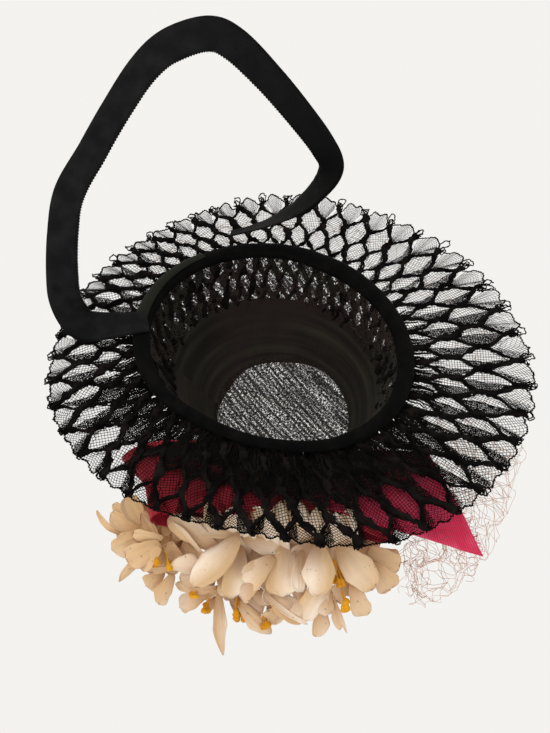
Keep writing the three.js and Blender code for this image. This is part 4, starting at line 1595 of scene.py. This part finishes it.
@dataclass
class Bow:
    """The crimson bow on the front of the brim.

    Attributes:
        knot: Centre of the knot.
        knot_size: Half the knot's extent.
        side_at_knot: Direction of the ribbon's width at the knot.
        side_at_end: That direction where the ribbon has swung right round.
        strips: Loops and tails.
    """

    knot: Triple = (-22, -92, 19)
    knot_size: Triple = (9, 15, 10.5)
    side_at_knot: Triple = (0.05, -0.97, 0.24)
    side_at_end: Triple = (-0.56, -0.72, 0.41)
    strips: tuple[Strip, ...] = (
        Strip("bow_right_tail", "bow_tail_right", (
            (-27, -93, 12.5, 26, 0), (-55, -93, 11, 40, 0), (-86, -92, 15, 49, 0),
            (-116, -92.5, 20.5, 54, 0),
        ), 38.0),
        Strip("bow_left_loop", "bow_loop_left", (
            (-16, -93, 16, 26, 0), (12, -95, 13.5, 40, 0.2), (40, -98, 13.5, 42, 0.6),
            (59, -100, 17, 42, 0.95), (65, -102, 23, 42, 1), (56, -100, 29, 40, 0.9),
            (36, -100, 30, 40, 0.5), (10, -95, 27, 34, 0.1), (-16, -93, 22, 26, 0),
        ), both_ends=True),
        Strip("bow_right_loop", "bow_loop_right", (
            (-27, -93, 17, 26, 0), (-50, -95, 17, 36, 0), (-70, -97, 19, 42, 0),
            (-80, -98, 24, 42, 0), (-70, -97, 29, 40, 0), (-50, -95, 29, 34, 0),
            (-27, -93, 23, 26, 0),
        ), both_ends=True),
        Strip("bow_left_tail", "bow_tail_left", (
            (-13, -98, 12, 22, 0), (6, -104, 10, 28, 0), (24, -108, 10, 30, 0),
        ), -18.0, 1.2),
    )

    def strip(self, strip: Strip, seed: int) -> tuple[Surface, float]:
        """A strip: gathered into pleats at the knot, smooth further out, cut on the slant.

        Args:
            strip: Its sizes.
            seed: Seed of its wrinkles.

        Returns:
            The surface and the strip's length.
        """
        table = np.array(strip.rows, float)
        swing = table[:, 4:5]
        side = blend(np.array(self.side_at_knot), np.array(self.side_at_end), swing)
        points, normal, u, v, run = ribbon_grid(table[:, :3], side, table[:, 3], 90, 33)
        tangent = unit(np.gradient(points, axis=0))
        points = points + tangent * (strip.slant * v / 2 * u**3)[..., None]
        near = bell(u, 0.2)
        if strip.both_ends:
            near = near + bell(1 - u, 0.2)
        pleat = strip.pleats * near * np.sin(v * 11 + seed)
        wrinkle = wander(pair(run, v * 22), 38.0, 50 + seed, 1)[..., 0]
        points = points + normal * (pleat + 0.9 * wrinkle)[..., None]
        return grid_surface(points, pair(run, v * 25)), float(run[-1, 0])

    def frayed_end(self) -> Surface:
        """Loose threads along the right tail's slanting cut.

        Returns:
            The threads.
        """
        random = np.random.default_rng(2)
        count = 70
        share = random.uniform(-1, 1, (count, 1))
        table = np.array(self.strips[0].rows, float)
        side = np.broadcast_to(np.array(self.side_at_knot), (len(table), 3))
        points = ribbon_grid(table[:, :3], side, table[:, 3], 90, 33)[0]
        way = unit(points[-1, 16] - points[-4, 16])
        across = points[-1, -1] - points[-1, 0]
        root = points[-1, 16] + across * share / 2 + way * (self.strips[0].slant * share / 2)
        length = random.uniform(0.6, 3.2, (count, 1, 1))
        step = np.linspace(-0.5, 1, 4)[:, None]
        curl = wander(root[:, None] + step * 3, 6.0, 71) * step**2 * 1.2
        paths = root[:, None] + way * step * length + curl
        return rods(paths, 0.12)

    def build(self) -> None:
        """Builds the loops, the tails, the frayed end and the knot."""
        for number, strip in enumerate(self.strips):
            surface, length = self.strip(strip, number)
            # The right tail and its fray get the brighter crimson, which is painted light.
            finish = CRIMSON_RIBBON if number else PAINTED_LIGHT_CRIMSON
            piece = make_piece(strip.name, surface, finish, [strip.node], wall=0.45)
        make_piece("bow_fray", self.frayed_end(), PAINTED_LIGHT_CRIMSON)
        angle, turn = grid(np.linspace(0, TURN, 65), np.linspace(-1.45, 1.45, 33))
        x, y, z = self.knot_size
        fold = 1 + 0.07 * np.sin(turn * 9 + 1.5 * np.sin(angle)) * np.cos(turn)
        aside = x * np.cos(angle) * np.cos(turn) ** 0.6 * fold
        rise = z * np.sin(angle) * np.cos(turn) ** 0.6 * fold
        points = np.stack([aside, y * np.sin(turn), rise], -1)
        knot = grid_surface(points + np.array(self.knot), pair(turn * 14, angle * 10), True)
        make_piece("bow_centre", knot, CRIMSON_RIBBON, ["bow_knot"])


@dataclass
class Flowers:
    """The cluster of cloth flowers with its stamens and stems.

    Its tables give places as they show in the picture: x and y in pixels, how far behind the
    flower's own depth in millimetres, and widths in pixels. spot and size make them real ones.

    Attributes:
        petals: Single petals, flower by flower: x, y and depth of the base, the same of the
            tip, width, bow, roll in radians and bluntness.
        own_petals: How many of those rows each flower has.
        fuller: How much wider a petal is than it shows, because it is curled and tilted.
        blossoms: x, y, depth and radius of the open flower behind those petals.
        bunches: Stamens: flower, x, y and depth of the foot, the same of the ends, threads,
            spread.
        depths: Each flower's distance from the camera in millimetres.
        apart: How far apart the petals' patterns lie, so that each has a tone of its own.
        first_bunch: The flower whose stamens are the first bunch.
        hub: Where the wires part.
        straws: Where the straws meet the crown.
    """

    petals: Table = (
        (217, 549, -4, 184, 517, 4, 21, 0.15, 0.2, 0.5), (208, 560, -8, 178, 517, -2, 9, 0.25, 0.9, 0.4),
        (240, 535, -8, 188, 520, -6, 15, 0.12, -0.3, 0.4), (239, 536, -12, 192, 586, -16, 26, 0.06, 0, 0.35),
        (218, 552, -5, 193, 573, -8, 14, 0.1, 0.3, 0.6), (241, 536, -6, 280, 550, 0, 15, 0.1, 0.4, 0.5),
        (240, 545, -2, 229, 598, -6, 22, 0.1, 0.1, 0.6), (244, 540, 2, 262, 570, 6, 22, 0.1, 0.2, 0.5),
        (236, 533, 0, 213, 512, 6, 17, 0.1, 0, 0.5), (240, 533, 4, 262, 512, 12, 19, 0.1, 0.1, 0.6),
        (238, 566, 6, 233, 502, -16, 24, 0.02, 0, 0.6), (220, 556, 4, 212, 500, -14, 20, 0.02, -0.2, 0.5),
        (216, 548, -8, 172, 512, -6, 23, 0.1, 0, 0.8),
        (148, 530, -2, 127, 496, 2, 20, 0.1, 0, 0.7), (146, 530, 0, 113, 504, 4, 14, 0.1, 0.2, 0.6),
        (143, 531, -3, 109, 515, -2, 16, 0.12, -0.2, 0.7), (125, 535, -5, 95, 514, -8, 6, 0.22, 0.5, 0.5),
        (146, 533, -8, 112, 551, -10, 22, 0.2, 0, 0.7), (163, 538, -10, 133, 535, -14, 12, 0.2, 0.5, 0.8),
        (151, 549, -4, 118, 579, -2, 11, 0.1, 0.6, 0.2), (160, 543, -12, 126, 561, -14, 23, 0.12, 0.1, 0.8),
        (160, 547, -14, 138, 568, -12, 16, 0.1, -0.2, 0.8), (158, 540, -6, 141, 514, -2, 13, 0.1, -0.4, 0.6),
        (173, 574, -6, 158, 604, -4, 16, 0.15, 0.3, 0.6), (163, 571, -4, 146, 587, -2, 16, 0.2, 0, 1),
        (172, 567, -8, 144, 570, -6, 9, 0.1, 0.6, 0.6), (206, 577, -10, 173, 560, -12, 19, 0.15, 0.1, 0.7),
        (183, 558, -4, 166, 545, 0, 15, 0.1, 0.3, 0.6), (178, 548, -2, 170, 575, -4, 15, 0.1, -0.3, 0.6),
        (185, 540, 2, 196, 560, 0, 17, 0.1, 0.2, 0.7), (175, 540, 0, 187, 520, 6, 17, 0.1, 0, 0.6),
        (166, 536, 2, 172, 514, 8, 15, 0.1, 0.2, 0.6),
        (232, 563, -14, 225, 597, -14, 19, 0.1, 0, 0.8), (237, 600, -8, 273, 634, -4, 15, 0.12, 0.3, 0.3),
        (240, 592, -6, 262, 612, -4, 17, 0.1, 0.1, 0.6), (248, 575, -14, 241, 597, -16, 14, 0.1, 0, 1),
        (262, 562, -12, 244, 566, -14, 10, 0.2, 0.5, 0.9), (230, 590, -4, 246, 612, 0, 13, 0.1, 0.3, 0.6),
        (250, 590, -8, 270, 603, -8, 13, 0.12, -0.3, 0.7),
        (287, 544, -8, 281, 596, -12, 28, 0.1, 0, 0.9), (274, 556, -12, 245, 586, -14, 21, 0.15, 0.1, 0.7),
        (262, 560, -14, 243, 575, -16, 13, 0.15, 0.4, 0.9), (258, 584, -14, 240, 597, -14, 14, 0.12, 0, 1),
        (268, 588, -8, 304, 621, -8, 22, 0.1, 0.2, 0.5), (259, 587, -10, 307, 625, -12, 6, 0.12, 0.8, 0.3),
        (282, 603, -4, 260, 622, 0, 13, 0.1, 0.2, 0.6), (270, 600, -2, 278, 622, 2, 15, 0.1, 0, 0.6),
        (290, 560, -2, 301, 602, -4, 16, 0.1, -0.3, 0.6), (276, 575, -6, 268, 604, -8, 16, 0.12, 0.3, 0.7),
        (302, 566, 2, 292, 499, -22, 26, 0.02, 0, 0.7), (274, 568, 2, 263, 500, -24, 25, 0.02, 0.1, 0.7),
        (289, 568, 0, 278, 506, -24, 20, 0.02, 0.3, 0.6),
        (318, 543, -10, 317, 596, -14, 29, 0.12, 0, 0.3), (331, 571, -4, 305, 622, -4, 25, 0.1, 0.3, 0.7),
        (305, 593, -6, 296, 616, -6, 15, 0.1, 0.2, 0.8), (322, 606, 0, 317, 635, 4, 15, 0.05, 0, 0.5),
        (302, 550, -6, 299, 592, -8, 15, 0.1, 0.4, 0.6), (329, 588, -4, 326, 617, -2, 17, 0.1, 0.1, 0.7),
        (312, 540, 0, 293, 562, 0, 17, 0.1, 0, 0.6), (330, 564, 4, 318, 508, -17, 23, 0.02, 0, 0.7),
        (354, 562, 4, 348, 514, -16, 20, 0.02, 0.2, 0.6), (342, 566, 3, 336, 512, -18, 18, 0.02, -0.1, 0.6),
        (338, 545, -8, 374, 589, -12, 29, 0.12, 0, 0.4), (368, 549, -2, 400, 570, 2, 19, 0.1, 0.2, 0.9),
        (370, 562, -6, 391, 589, -4, 21, 0.1, -0.1, 0.9), (352, 581, -8, 367, 616, -8, 17, 0.1, 0.1, 1),
        (352, 578, -4, 336, 602, -2, 15, 0.1, 0.2, 0.7), (334, 598, -4, 345, 632, -4, 3, 0.05, 0.2, 0.5),
        (333, 600, 0, 340, 630, 2, 9, 0.05, 0, 0.5), (331, 547, -8, 335, 586, -8, 5, 0.06, 0.4, 0.5),
        (345, 558, 0, 352, 597, 0, 19, 0.1, 0.2, 0.7), (376, 552, 2, 398, 558, 6, 15, 0.1, 0, 0.8),
        (350, 548, 2, 380, 545, 8, 19, 0.1, 0, 0.7),
        (217, 588, -14, 175, 585, -12, 13, 0.15, 0.2, 0.6), (207, 593, -12, 176, 608, -8, 16, 0.1, 0, 0.8),
        (215, 580, -16, 180, 576, -16, 17, 0.1, 0.1, 0.8), (219, 590, -8, 223, 655, -4, 14, 0.05, 0.3, 0),
        (214, 594, -6, 206, 613, -4, 10, 0.1, 0.2, 0.4), (222, 586, -10, 198, 598, -8, 11, 0.1, 0.4, 0.7),
        (212, 572, -12, 187, 590, -14, 16, 0.12, -0.2, 0.8),
    )
    own_petals: tuple[int, ...] = (13, 10, 9, 7, 13, 10, 11, 7)
    fuller: float = 1.32
    blossoms: Table = (
        (225, 528, 10, 30), (140, 530, 8, 25), (170, 552, 9, 25), (237, 588, 7, 21), (272, 566, 8, 29),
        (312, 560, 10, 32), (354, 562, 11, 31), (198, 578, 5, 22),
    )
    bunches: Table = (
        (3, 158, 546, -14, 154, 564, -16, 3, 4), (3, 165, 548, -12, 169, 566, -14, 2, 3),
        (4, 236, 596, -10, 239, 620, -8, 6, 8), (4, 209, 598, -12, 206, 612, -12, 3, 4),
        (4, 196, 590, -16, 192, 598, -16, 2, 3), (5, 262, 612, -2, 269, 630, -4, 2, 3),
        (6, 334, 560, -12, 340, 586, -12, 6, 9), (7, 341, 588, -10, 347, 610, -10, 4, 5),
    )
    depths: tuple[float, ...] = (556, 556, 557, 568, 562, 554, 553, 570)
    apart: float = 40.0
    first_bunch: int = 3
    hub: Triple = (18, -97, 40)
    straws: tuple[Triple, ...] = ((23, -67, 37), (33, -63, 34))

    def spot(self, number: int, x: float, y: float, behind: float) -> Array:
        """The point of a flower, counted from 0, that shows at a place in the picture."""
        return Studio().place(x, y, self.depths[number] + behind)

    def size(self, number: int, pixels: float) -> float:
        """The real length of a few pixels at a flower's depth."""
        studio = Studio()
        return pixels * self.depths[number] / (studio.focal * studio.width)

    def petal(
        self, ends: Array, width: float, bow: float, roll: float, blunt: float, seed: int
    ) -> Surface:
        """One petal.

        Its middle line goes from base to tip and stands off towards the outlook by length *
        bow * 4 u (1 - u), with a bend to the side. Half its width is width / 2 times a mix
        of the smaller of 1.2 u^0.5 and 1.55 (1 - u)^0.7, pointed with a shoulder, and
        (0.3 + 0.8 u^0.7)(1 - u^9)^0.55, blunt. One side is turned up more than the other. It is
        creased along the middle, fluted, and cupped or arched, and its end is torn uneven.

        Args:
            ends: Base and tip, (2, 3).
            width: Greatest width.
            bow: Height of its arch as a share of its length.
            roll: Turn about its middle line, 0 where its back faces the outlook.
            blunt: 0 for a pointed end, 1 for a blunt one.
            seed: Seed of its unevenness.

        Returns:
            The petal.
        """
        random = np.random.default_rng(seed)
        u, v = grid(np.linspace(0, 1, 19), np.linspace(-1, 1, 13))
        axis = ends[1] - ends[0]
        length = float(np.linalg.norm(axis))
        side = unit(np.cross(axis, np.array(OUTLOOK)))
        normal = unit(np.cross(side, axis))
        normal = normal * np.sign(np.dot(normal, OUTLOOK))
        turn = (roll + random.normal(0, 0.3) * (u - 0.3))[..., None]
        flat = side * np.cos(turn) + normal * np.sin(turn)
        lift = normal * np.cos(turn) - side * np.sin(turn)
        pointed = np.minimum(1.2 * u**0.5, 1.55 * (1 - u) ** 0.7)
        rounded = (0.3 + 0.8 * u**0.7) * np.maximum(1 - u**9, 0) ** 0.55
        half = width / 2 * np.maximum(blend(pointed, rounded, blunt), 0.05)
        phase = random.uniform(0, TURN, 8)
        lobes = 0.12 * np.sin(u * 7 + phase[0] + 1.5 * np.sign(v))
        lobes = lobes + 0.06 * np.sin(u * 17 + phase[1] + 2 * v)
        across = v * half * (1 + lobes * np.abs(v) * u)
        cup = random.uniform(-0.3, 0.14)
        crease = random.uniform(-0.12, 0.26)
        turned = random.uniform(-0.4, 0.4) * half * np.clip(v * (-1) ** seed, 0, 1) ** 3
        raised = turned - cup * half * v**2 - crease * half * np.abs(v)
        flute = random.uniform(0.02, 0.07) * half * np.sin(v * random.uniform(7, 13) + phase[2])
        ruffle = random.uniform(0.5, 1.5) * width / 16
        wave = np.sin(u * 8 + phase[3] + 2.5 * v)
        raised = raised + flute * np.sin(u * math.pi) + ruffle * v**2 * wave * u
        curl = random.normal(0, 0.11) * length * u**4
        sway = random.normal(0, 0.04) * length * np.sin(u * math.pi)
        torn = 0.07 * np.sin(4 * v + phase[4]) + 0.04 * np.sin(11 * v + phase[5])
        reach = u + torn * u**3 * half / width * 2
        middle = ends[0] + axis * reach[..., None]
        middle = middle + normal * (length * bow * 4 * u * (1 - u))[..., None]
        points = middle + flat * (across + sway)[..., None] + lift * (raised + curl)[..., None]
        return grid_surface(points, pair(u * length, across + self.apart * seed))

    def blossom(self, number: int) -> tuple[list[Surface], float, float]:
        """A flower: its open blossom, whose petals spread in two rings, and its own petals.

        Args:
            number: The flower, from 0.

        Returns:
            The petals, their flat area and the longest length.
        """
        x, y, behind, pixels = self.blossoms[number]
        radius = self.size(number, pixels)
        random = np.random.default_rng(400 + number)
        out = np.array(OUTLOOK)
        right = unit(np.cross(out, UPWARD))
        top = np.cross(right, out)
        centre = self.spot(number, x, y, behind)
        rows = []
        for count, reach, depth in ((6, 1.0, 0.35), (5, 0.62, 0.75)):
            for i in range(count):
                turn = (i + random.uniform(0.2, 0.6) + 0.3 * number) / count * TURN
                size = radius * reach * random.uniform(0.85, 1.05)
                way = right * math.cos(turn) + top * math.sin(turn)
                tip = centre + way * size - out * radius * depth
                rows.append((centre, tip, radius * 1.15, 0.12, random.normal(0, 0.25), 0.6))
        first = sum(self.own_petals[:number])
        for row in self.petals[first : first + self.own_petals[number]]:
            ends = self.spot(number, *row[:3]), self.spot(number, *row[3:6])
            rows.append((*ends, self.size(number, round(row[6] * self.fuller)), *row[7:]))
        made, area, longest = [], 0.0, 0.0
        for i, (base, tip, width, bow, roll, blunt) in enumerate(rows):
            ends = np.array([base, tip])
            made.append(self.petal(ends, width, bow, roll, blunt, 100 * number + i))
            length = float(np.linalg.norm(ends[1] - ends[0]))
            area, longest = area + width * length * 0.8, max(longest, length)
        return made, area, longest

    def stamens(self, number: int) -> Surface:
        """All bunches of one flower: threads with plump yellow ends.

        Args:
            number: The flower, from 1.

        Returns:
            The threads.
        """
        random = np.random.default_rng(300 + number)
        share = np.linspace(0, 1, 22)[:, None]
        parts = []
        for row in self.bunches:
            if int(row[0]) != number:
                continue
            foot, end = self.spot(number - 1, *row[1:4]), self.spot(number - 1, *row[4:7])
            count, spread = int(row[7]), self.size(number - 1, row[8])
            ends = end + random.normal(0, 0.5, (count, 1, 3)) * spread
            paths = foot + (ends - foot) * share + wander(ends + share, 9.0, 33) * share
            length = np.linalg.norm(end - foot)
            plump = bell(share[:, 0] - 0.93, 1.6 / length)
            plump = plump + 0.7 * bell(share[:, 0] - 0.74, 1.3 / length)
            size = 0.3 + random.uniform(1.4, 2.3, (count, 1)) * plump
            parts.append(rods(paths, size, sides=7))
        return Surface.joined(parts)

    def stems(self) -> Surface:
        """Wrapped wires from the hub to every flower, where they swell, and straws.

        Returns:
            The wires, the straws and their ends.
        """
        hub = np.array(self.hub)
        hearts = [self.spot(number, *row[:3]) for number, row in enumerate(self.blossoms)]
        ends = np.array(hearts + [np.array(straw) for straw in self.straws])
        share = np.linspace(0, 1, 24)[None, :, None]
        lines = hub + (ends[:, None] - hub) * share
        lines = lines + wander(lines, 30.0, 17) * np.sin(share * math.pi) * 1.2
        size = 0.8 + 1.6 * bell(share[..., 0] - 1, 0.12)
        size = np.where(np.arange(len(lines))[:, None] < len(self.blossoms), size, 0.8)
        parts = [rods(lines, size, sides=8)]
        random = np.random.default_rng(19)
        root = np.repeat(np.array(self.straws, float), 9, 0)[:, None]
        way = random.normal(0, 0.5, (18, 1, 3)) + np.array([0.1, -0.75, 0.35])
        short = root + way * np.linspace(-1.5, 9, 5)[:, None] * random.uniform(0.5, 1.3, (18, 1, 1))
        parts.append(rods(short, 0.22))
        return Surface.joined(parts)

    def build(self) -> None:
        """Builds every flower, its stamens and the stems."""
        for number in range(len(self.blossoms)):
            made, area, longest = self.blossom(number)
            name, solid = f"flower_petals_{number + 1}", f"flower_{number + 1}"
            petals = Surface.joined(made)
            piece = make_piece(name, petals, CREAM_CLOTH, [solid], wall=0.3)
            flat, area = (area / longest * 1.25 * MM, longest * MM), area * MM * MM
        for order in range(5):
            name = f"stamen_bunch_{order + 1}"
            bunch = self.stamens(self.first_bunch + order)
            make_piece(name, bunch, YELLOW_TIP, [f"stamens_{order + 1}"])
        make_piece("flower_stems", self.stems(), STRAW, ["stems"])


@dataclass
class Veil:
    """The scrap of coarse brown net, laid round the back and crushed at the right.

    Attributes:
        rows: turn, near radius, far radius, near height and far height of each section.
        thread: Radius of its thread.
    """

    rows: Table = (
        (20, 94, 112, 8.5, 9.5), (60, 96, 117, 8.5, 10.5), (90, 95, 128, 8.5, 11),
        (120, 95, 134, 8.5, 11), (150, 98, 146, 8.5, 11.5), (180, 102, 158, 8.5, 12.5),
        (200, 110, 165, 9.5, 14.5), (214, 126, 173, 15, 30), (226, 142, 178, 30, 52),
        (236, 148, 164, 48, 72),
    )
    thread: float = 0.135

    def skin(self, share: Array, across: Array, seed: int) -> Array:
        """The net's surface: sections swept round the crown, crumpled more towards the end.

        Args:
            share: Share of the way along the veil.
            across: Share of the way from its near edge to its far one.
            seed: Seed of its unevenness.

        Returns:
            Points of the veil.
        """
        table = np.array(self.rows, float)
        value = smooth_rows(table, share)
        turn = np.radians(value[..., 0])
        radius = blend(value[..., 1], value[..., 2], across)
        height = blend(value[..., 3], value[..., 4], across)
        points = around(turn, radius, height)
        crush = np.clip((share - 0.58) / 0.4, 0, 1)[..., None]
        points = points + wander(points, 32.0, seed) * (1.0 + 5.0 * crush)
        return points + wander(points, 17.0, 90) * 3.2 * crush

    def layer(self, first: float, last: float, along: int, up: int, seed: int) -> Surface:
        """One layer of net: a lattice of slack threads between wandering nodes.

        Args:
            first: Share of the veil where it starts.
            last: Share where it ends.
            along: Meshes along it.
            up: Meshes across it.
            seed: Seed of its unevenness.

        Returns:
            The threads.
        """
        random = np.random.default_rng(seed)
        i, j = grid(np.arange(along + 1), np.arange(up + 1))
        node_u = first + (last - first) * (i + 0.5 * (j % 2)) / (along + 0.5)
        node_v = j / up
        node_u = node_u + random.normal(0, 0.22, i.shape) * (last - first) / along
        node_v = node_v + random.normal(0, 0.22, i.shape) / up
        links = []
        column, row = i[:-1, :-1], j[:-1, :-1]
        for turn in (1, 0):
            target = column + row % 2 - turn
            good = (target >= 0) & (target <= along)
            links.append(((column[good], row[good]), (target[good], row[good] + 1)))
        start, end = (i[:-1, ::3].ravel(), j[:-1, ::3].ravel()), (i[1:, ::3].ravel(), j[1:, ::3].ravel())
        links.append((start, end))
        share = np.linspace(0, 1, 6)
        lines = []
        for start, end in links:
            u = blend(node_u[start][:, None], node_u[end][:, None], share)
            v = blend(node_v[start][:, None], node_v[end][:, None], share)
            slack = random.normal(0, 0.9, (len(u), 1, 3)) * np.sin(share * math.pi)[:, None]
            lines.append(self.skin(u, np.clip(v, 0, 1), seed) + slack)
        return rods(np.concatenate(lines), self.thread)

    def build(self) -> None:
        """Builds a flat layer all round and three crushed layers at the right."""
        parts = [self.layer(0.0, 0.9, 34, 5, 61)]
        parts += [self.layer(0.66, 1.0, 11, 6, seed) for seed in (62, 63, 64)]
        net = Surface.joined(parts)
        make_piece("veil_net", net, BROWN_THREAD, ["veil"], smooth=False)


@dataclass
class Studio:
    """The floor, the light and the camera.

    Attributes:
        distance: Camera's distance from the middle of the head opening.
        forward: Direction that the camera looks in.
        up: The picture's up direction.
        focal: Focal length as a share of the picture's width.
        width: The picture's width in pixels.
        height: Its height.
        middle_x: Where the middle of the head opening shows in the picture.
        middle_y: Where it shows, down from the top.
        floor: Height of the floor in millimetres.
        reach: Half the floor's width in metres.
    """

    distance: float = 600.0
    forward: Triple = (0.0, 0.6428, 0.766)
    up: Triple = (0.1045, 0.7618, -0.6393)
    focal: float = 960 / 550
    width: int = 550
    height: int = 733
    middle_x: float = 273.0
    middle_y: float = 337.8
    floor: float = -1150.0
    reach: float = 6.0

    def axes(self) -> tuple[Array, Array, Array]:
        """The picture's right and up directions and the camera's forward one.

        Returns:
            Three unit vectors.
        """
        forward = unit(np.array(self.forward))
        up = unit(np.array(self.up) - forward * np.dot(self.up, forward))
        return np.cross(forward, up), up, forward

    def view(self) -> tuple[Array, Array, Array]:
        """The camera's sideways, top and aim directions.

        They are the axes, turned so that the head opening's middle shows where it should.

        Returns:
            Three unit vectors.
        """
        right, up, forward = self.axes()
        focal = self.focal * self.width
        aim = forward + right * (self.width / 2 - self.middle_x) / focal
        aim = unit(aim - up * (self.height / 2 - self.middle_y) / focal)
        sideways = unit(np.cross(aim, up))
        return sideways, np.cross(sideways, aim), aim

    def place(self, x: float, y: float, depth: float) -> Array:
        """The point that shows at a pixel.

        Args:
            x: Pixels from the picture's left edge.
            y: Pixels from its top edge.
            depth: Distance from the camera in millimetres.

        Returns:
            The point.
        """
        sideways, top, aim = self.view()
        scale = depth / (self.focal * self.width)
        aside, down = (x - self.width / 2) * scale, (y - self.height / 2) * scale
        return -self.distance * self.axes()[2] + aim * depth + sideways * aside - top * down

    def camera(self) -> None:
        """A camera that sees the head opening's middle where the picture has it."""
        sideways, top, aim = self.view()
        place = -self.distance * self.axes()[2]
        data = bpy.data.cameras.new("camera")
        data.sensor_fit = "HORIZONTAL"
        data.sensor_width = 36.0
        data.lens = 36.0 * self.focal
        data.clip_start = 0.02
        camera = bpy.data.objects.new("camera", data)
        turn = Matrix((sideways, top, -aim)).transposed()
        camera.matrix_world = Matrix.Translation(Vector(place * MM)) @ turn.to_4x4()
        bpy.context.scene.collection.objects.link(camera)
        bpy.context.scene.camera = camera

    def lamp(self, name: str, place: Array, size: float, power: float, colour: tuple) -> None:
        """A square soft light aimed at the hat.

        Args:
            name: Its name.
            place: Its place in metres.
            size: Its side in metres.
            power: Its power in watts.
            colour: Its colour.
        """
        data = bpy.data.lights.new(name, "AREA")
        data.size = size
        data.energy = power
        data.color = colour
        light = bpy.data.objects.new(name, data)
        light.location = Vector(place)
        light.rotation_euler = (-Vector(place)).to_track_quat("-Z", "Y").to_euler()
        bpy.context.scene.collection.objects.link(light)

    def build(self) -> None:
        """Builds the floor, the lights, the world's light and the camera."""
        mesh = bpy.data.meshes.new("floor")
        corners = ((-1, -1), (1, -1), (1, 1), (-1, 1))
        points = [(x * self.reach, y * self.reach, self.floor * MM) for x, y in corners]
        mesh.from_pydata(points, [], [range(4)])
        floor = bpy.data.objects.new("floor", mesh)
        bpy.context.scene.collection.objects.link(floor)
        mesh.materials.append(PALE_FLOOR.material())
        right, up, forward = self.axes()
        eye = -forward * 0.6
        self.lamp("key", eye - right * 0.55 + up * 0.35, 0.7, 3.0, (1.0, 0.95, 0.88))
        self.lamp("fill", eye + right * 0.6 - up * 0.5, 0.9, 1.2, (1.0, 0.97, 0.93))
        bpy.context.scene.view_settings.view_transform = "Standard"
        world = bpy.data.worlds.new("world")
        bpy.context.scene.world = world
        world.use_nodes = True
        sky = world.node_tree.nodes["Background"]
        sky.inputs["Color"].default_value = (0.9, 0.89, 0.865, 1)
        sky.inputs["Strength"].default_value = 1.0
        self.camera()


def main() -> None:
    """Builds the stage and every part of the hat, in order."""
    logging.basicConfig(level=logging.INFO, format="%(message)s")
    Studio().build()
    for part in (HeadBand(), Crown(), Brim(), Strap(), Bow(), Flowers(), Veil()):
        part.build()
        LOG.info("%s is done", type(part).__name__)


if __name__ == "__main__":
    main()
